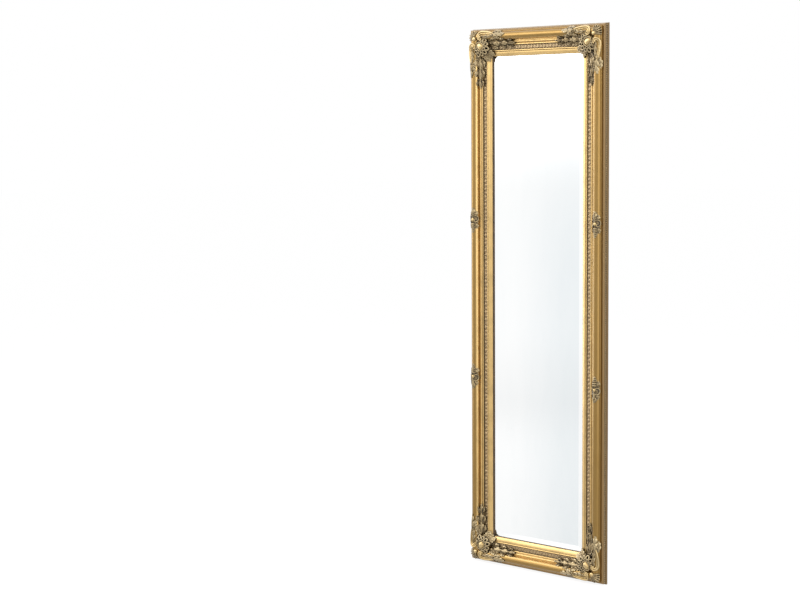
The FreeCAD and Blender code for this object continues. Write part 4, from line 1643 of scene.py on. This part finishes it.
@dataclass
class Studio:
    """A pale floor, white surroundings, soft lamps and the camera.

    A lamp's row is its name, place, width and height, power in watts, and the share of its height over
    which it grows from dark at its foot. A window's row is its direction, and the cosines of the angles at
    which it starts and is full.
    """

    floor_level: float
    camera_spot: tuple = (3.339, -4.161, 0.503)
    camera_turn: tuple = (84.69, 0.365, 43.118)
    lens: float = 82.11
    sensor: float = 36.0
    far_clip: float = 200.0
    floor_size: float = 60.0
    white: tuple = (1.0, 1.0, 1.0, 1.0)
    paint: tuple = (0.9, 0.9, 0.9, 1.0)
    glow: float = 1.14
    glow_share: float = 0.78
    near_gain: float = 0.2
    near_ring: tuple = (0.40, 0.28)
    far_loss: float = 0.15
    far_ring: tuple = (7.0, 0.8)
    ambient: float = 0.55
    dim: float = 0.54
    horizon: tuple = (0.13, 0.04)
    windows: tuple = (((-0.766, -0.643, 0.0), 0.83, 0.95), ((0.707, -0.707, 0.0), 0.53, 0.79))
    canopy: float = 1.5
    canopy_rise: tuple = (-0.02, 0.16)
    lamps: tuple = (
        ("key", (-1.75, -1.88, 1.2), (2.2, 2.2), 46.0, 0.9),
        ("rim", (2.7, -1.0, 0.2), (1.8, 2.4), 19.0, 0.1),
        ("side", (-2.6, -0.9, 0.1), (1.1, 2.4), 22.0, 0.1),
        ("back", (0.6, 3.2, 2.2), (2.6, 2.6), 60.0, 0.1),
    )

    def build(self) -> None:
        """Set up floor, surroundings, lamps and camera."""
        self.lay_floor()
        self.wrap_world()
        for lamp in self.lamps:
            self.hang_lamp(*lamp)
        self.set_camera()
        bpy.context.scene.view_settings.view_transform = "Standard"

    def lay_floor(self) -> None:
        """Lay the pale floor that takes the shadow and shows paler in the glass near the mirror's foot."""
        spot = (0, 0, self.floor_level)
        floor = add("floor", bpy.ops.mesh.primitive_plane_add, size=self.floor_size, location=spot)
        material, bench, place = new_material("pale floor")
        seen, mirrored_ray, through = self.rays(bench)
        mirrored_ray = mirrored_ray.most(through)
        away = bench.value("ShaderNodeVectorMath", {0: place}, "Value", operation="LENGTH")
        ring = self.near_gain * away.step(*self.near_ring) - self.far_loss * away.step(*self.far_ring)
        strength = self.glow + mirrored_ray * ring
        paint = bench.node("ShaderNodeBsdfDiffuse", {"Color": self.paint})
        light = bench.node("ShaderNodeEmission", {"Color": self.white, "Strength": strength})
        share = mirrored_ray.most(seen) * self.glow_share
        bench.finish(bench.node("ShaderNodeMixShader", {0: share, 1: paint.outputs[0], 2: light.outputs[0]}))
        dress(floor, material)

    def rays(self, bench: Bench) -> list[Wire]:
        """Whether a ray comes from the camera, from a mirror or through glass."""
        path = bench.node("ShaderNodeLightPath", {})
        return [Wire(bench, path.outputs[f"Is {kind} Ray"]) for kind in ("Camera", "Glossy", "Transmission")]

    def wrap_world(self) -> None:
        """Surround the object with white, dimmer to the sides and behind in what the gilding mirrors."""
        world = bpy.data.worlds.new("studio")
        bpy.context.scene.world = world
        world.use_nodes = True
        bench = Bench(world.node_tree)
        seen, mirrored_ray, through = self.rays(bench)
        straight = seen.most(through)
        way = bench.node("ShaderNodeTexCoord", {}).outputs["Generated"]
        height = bench.parts(way)[2]
        opened = abs(height).step(*self.horizon)
        for heading, start, full in self.windows:
            inputs = {0: way, 1: heading}
            ahead = bench.value("ShaderNodeVectorMath", inputs, "Value", operation="DOT_PRODUCT")
            opened = opened.most(ahead.step(start, full))
        level = self.dim + height.step(*self.canopy_rise) * self.canopy + opened * (1.0 - self.dim)
        strength = straight + (1 - straight) * (mirrored_ray * level + (1 - mirrored_ray) * self.ambient)
        sky = bench.node("ShaderNodeBackground", {"Color": self.white, "Strength": strength})
        bench.finish(sky, "World")

    def hang_lamp(self, name: str, spot: tuple, size: tuple, power: float, fade: float) -> None:
        """Hang one soft lamp that faces the mirror.

        Args:
            name: The lamp's name.
            spot: Its place.
            size: Its width and height.
            power: Its power in watts.
            fade: The share of its height over which it grows from dark at its foot.
        """
        lamp = add(name, bpy.ops.object.light_add, type="AREA", location=spot)
        lamp.data.shape = "RECTANGLE"
        lamp.data.size, lamp.data.size_y = size
        lamp.data.energy = power
        lamp.data.use_nodes = True
        bench = Bench(lamp.data.node_tree)
        height = bench.parts(bench.node("ShaderNodeNewGeometry", {}).outputs["Parametric"])[1]
        shine = bench.node("ShaderNodeEmission", {"Color": self.white, "Strength": height.step(0.0, fade)})
        bench.finish(shine, "Light")
        aim = -lamp.location
        lamp.rotation_euler = aim.to_track_quat("-Z", "Y").to_euler()

    def set_camera(self) -> None:
        """Put the camera where the photograph was taken from."""
        turn = tuple(math.radians(angle) for angle in self.camera_turn)
        camera = add("camera", bpy.ops.object.camera_add, location=self.camera_spot, rotation=turn)
        camera.data.lens = self.lens
        camera.data.sensor_width = self.sensor
        camera.data.clip_end = self.far_clip
        bpy.context.scene.camera = camera


def main() -> None:
    """Build the mirror's looks, piece by piece, and the studio round it."""
    logging.basicConfig(level=logging.INFO, format="%(message)s")
    sizes = FrameSizes.read()
    gilt_wood = Gilding(
        "gilt wood", tone(197, 163, 103), tone(218, 188, 130), tone(72, 54, 25), metal=0.90, roughness=0.33,
        cavity=5 * MM, toned=(0.50, 0.92), relief=0.02, crest_painted_shade=tone(131, 101, 48),
        side_tone=tone(134, 107, 66),
    ).material(sizes)
    composition = Gilding(
        "gilt composition", tone(146, 122, 86), tone(188, 166, 128), tone(60, 48, 30), metal=0.70,
        roughness=0.44, cavity=4 * MM, toned=(0.20, 0.60), relief=0.20, rim_wear=0.45,
    ).material(sizes)
    casting = Gilding(
        "antique gilt casting", tone(119, 99, 64), tone(224, 205, 162), tone(30, 23, 12), metal=0.76,
        roughness=0.33, cavity=10 * MM, toned=(0.16, 0.50), relief=0.20, rim_wear=0.9,
    ).material(sizes)
    toned_casting = Gilding(
        "toned gilt casting", tone(98, 80, 49), tone(212, 190, 142), tone(30, 23, 12), metal=0.74,
        roughness=0.35, cavity=6 * MM, toned=(0.10, 0.38), relief=0.20, rim_wear=0.7,
    ).material(sizes)
    rubbed = Gilding(
        "rubbed gilt", tone(152, 125, 74), tone(228, 205, 156), tone(46, 36, 19), metal=0.88,
        roughness=0.29, cavity=10 * MM, toned=(0.28, 0.70), relief=0.10, rim_wear=0.7,
    ).material(sizes)
    timber = StainedWood("stained timber", tone(58, 44, 28), tone(92, 70, 44)).material()
    glass = SilveredGlass("silvered glass", tone(253, 254, 254), tone(236, 241, 243)).material()
    board = PressedBoard("pressed board", tone(96, 66, 40), tone(134, 98, 62)).material()
    steel = PlatedSteel("plated steel", tone(196, 198, 196), tone(150, 152, 148)).material()
    rubber = SoftRubber("soft rubber", tone(30, 29, 28), tone(62, 60, 57)).material()
    groups = (
        Moulding(sizes, gilt_wood, timber),
        LeafStrips(sizes, composition),
        PearlRows(sizes, composition),
        CornerOrnament(sizes, casting, rubbed),
        StileOrnament(sizes, toned_casting, rubbed),
        GlassAndBack(glass, board, steel),
        Hangers(steel, rubber),
    )
    for group in groups:
        for piece in group.build():
            LOG.info("%s: %s, %d faces", type(group).__name__, piece.name, len(piece.data.polygons))
    Studio(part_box("bottom_rail")[0].z).build()


if __name__ == "__main__":
    main()
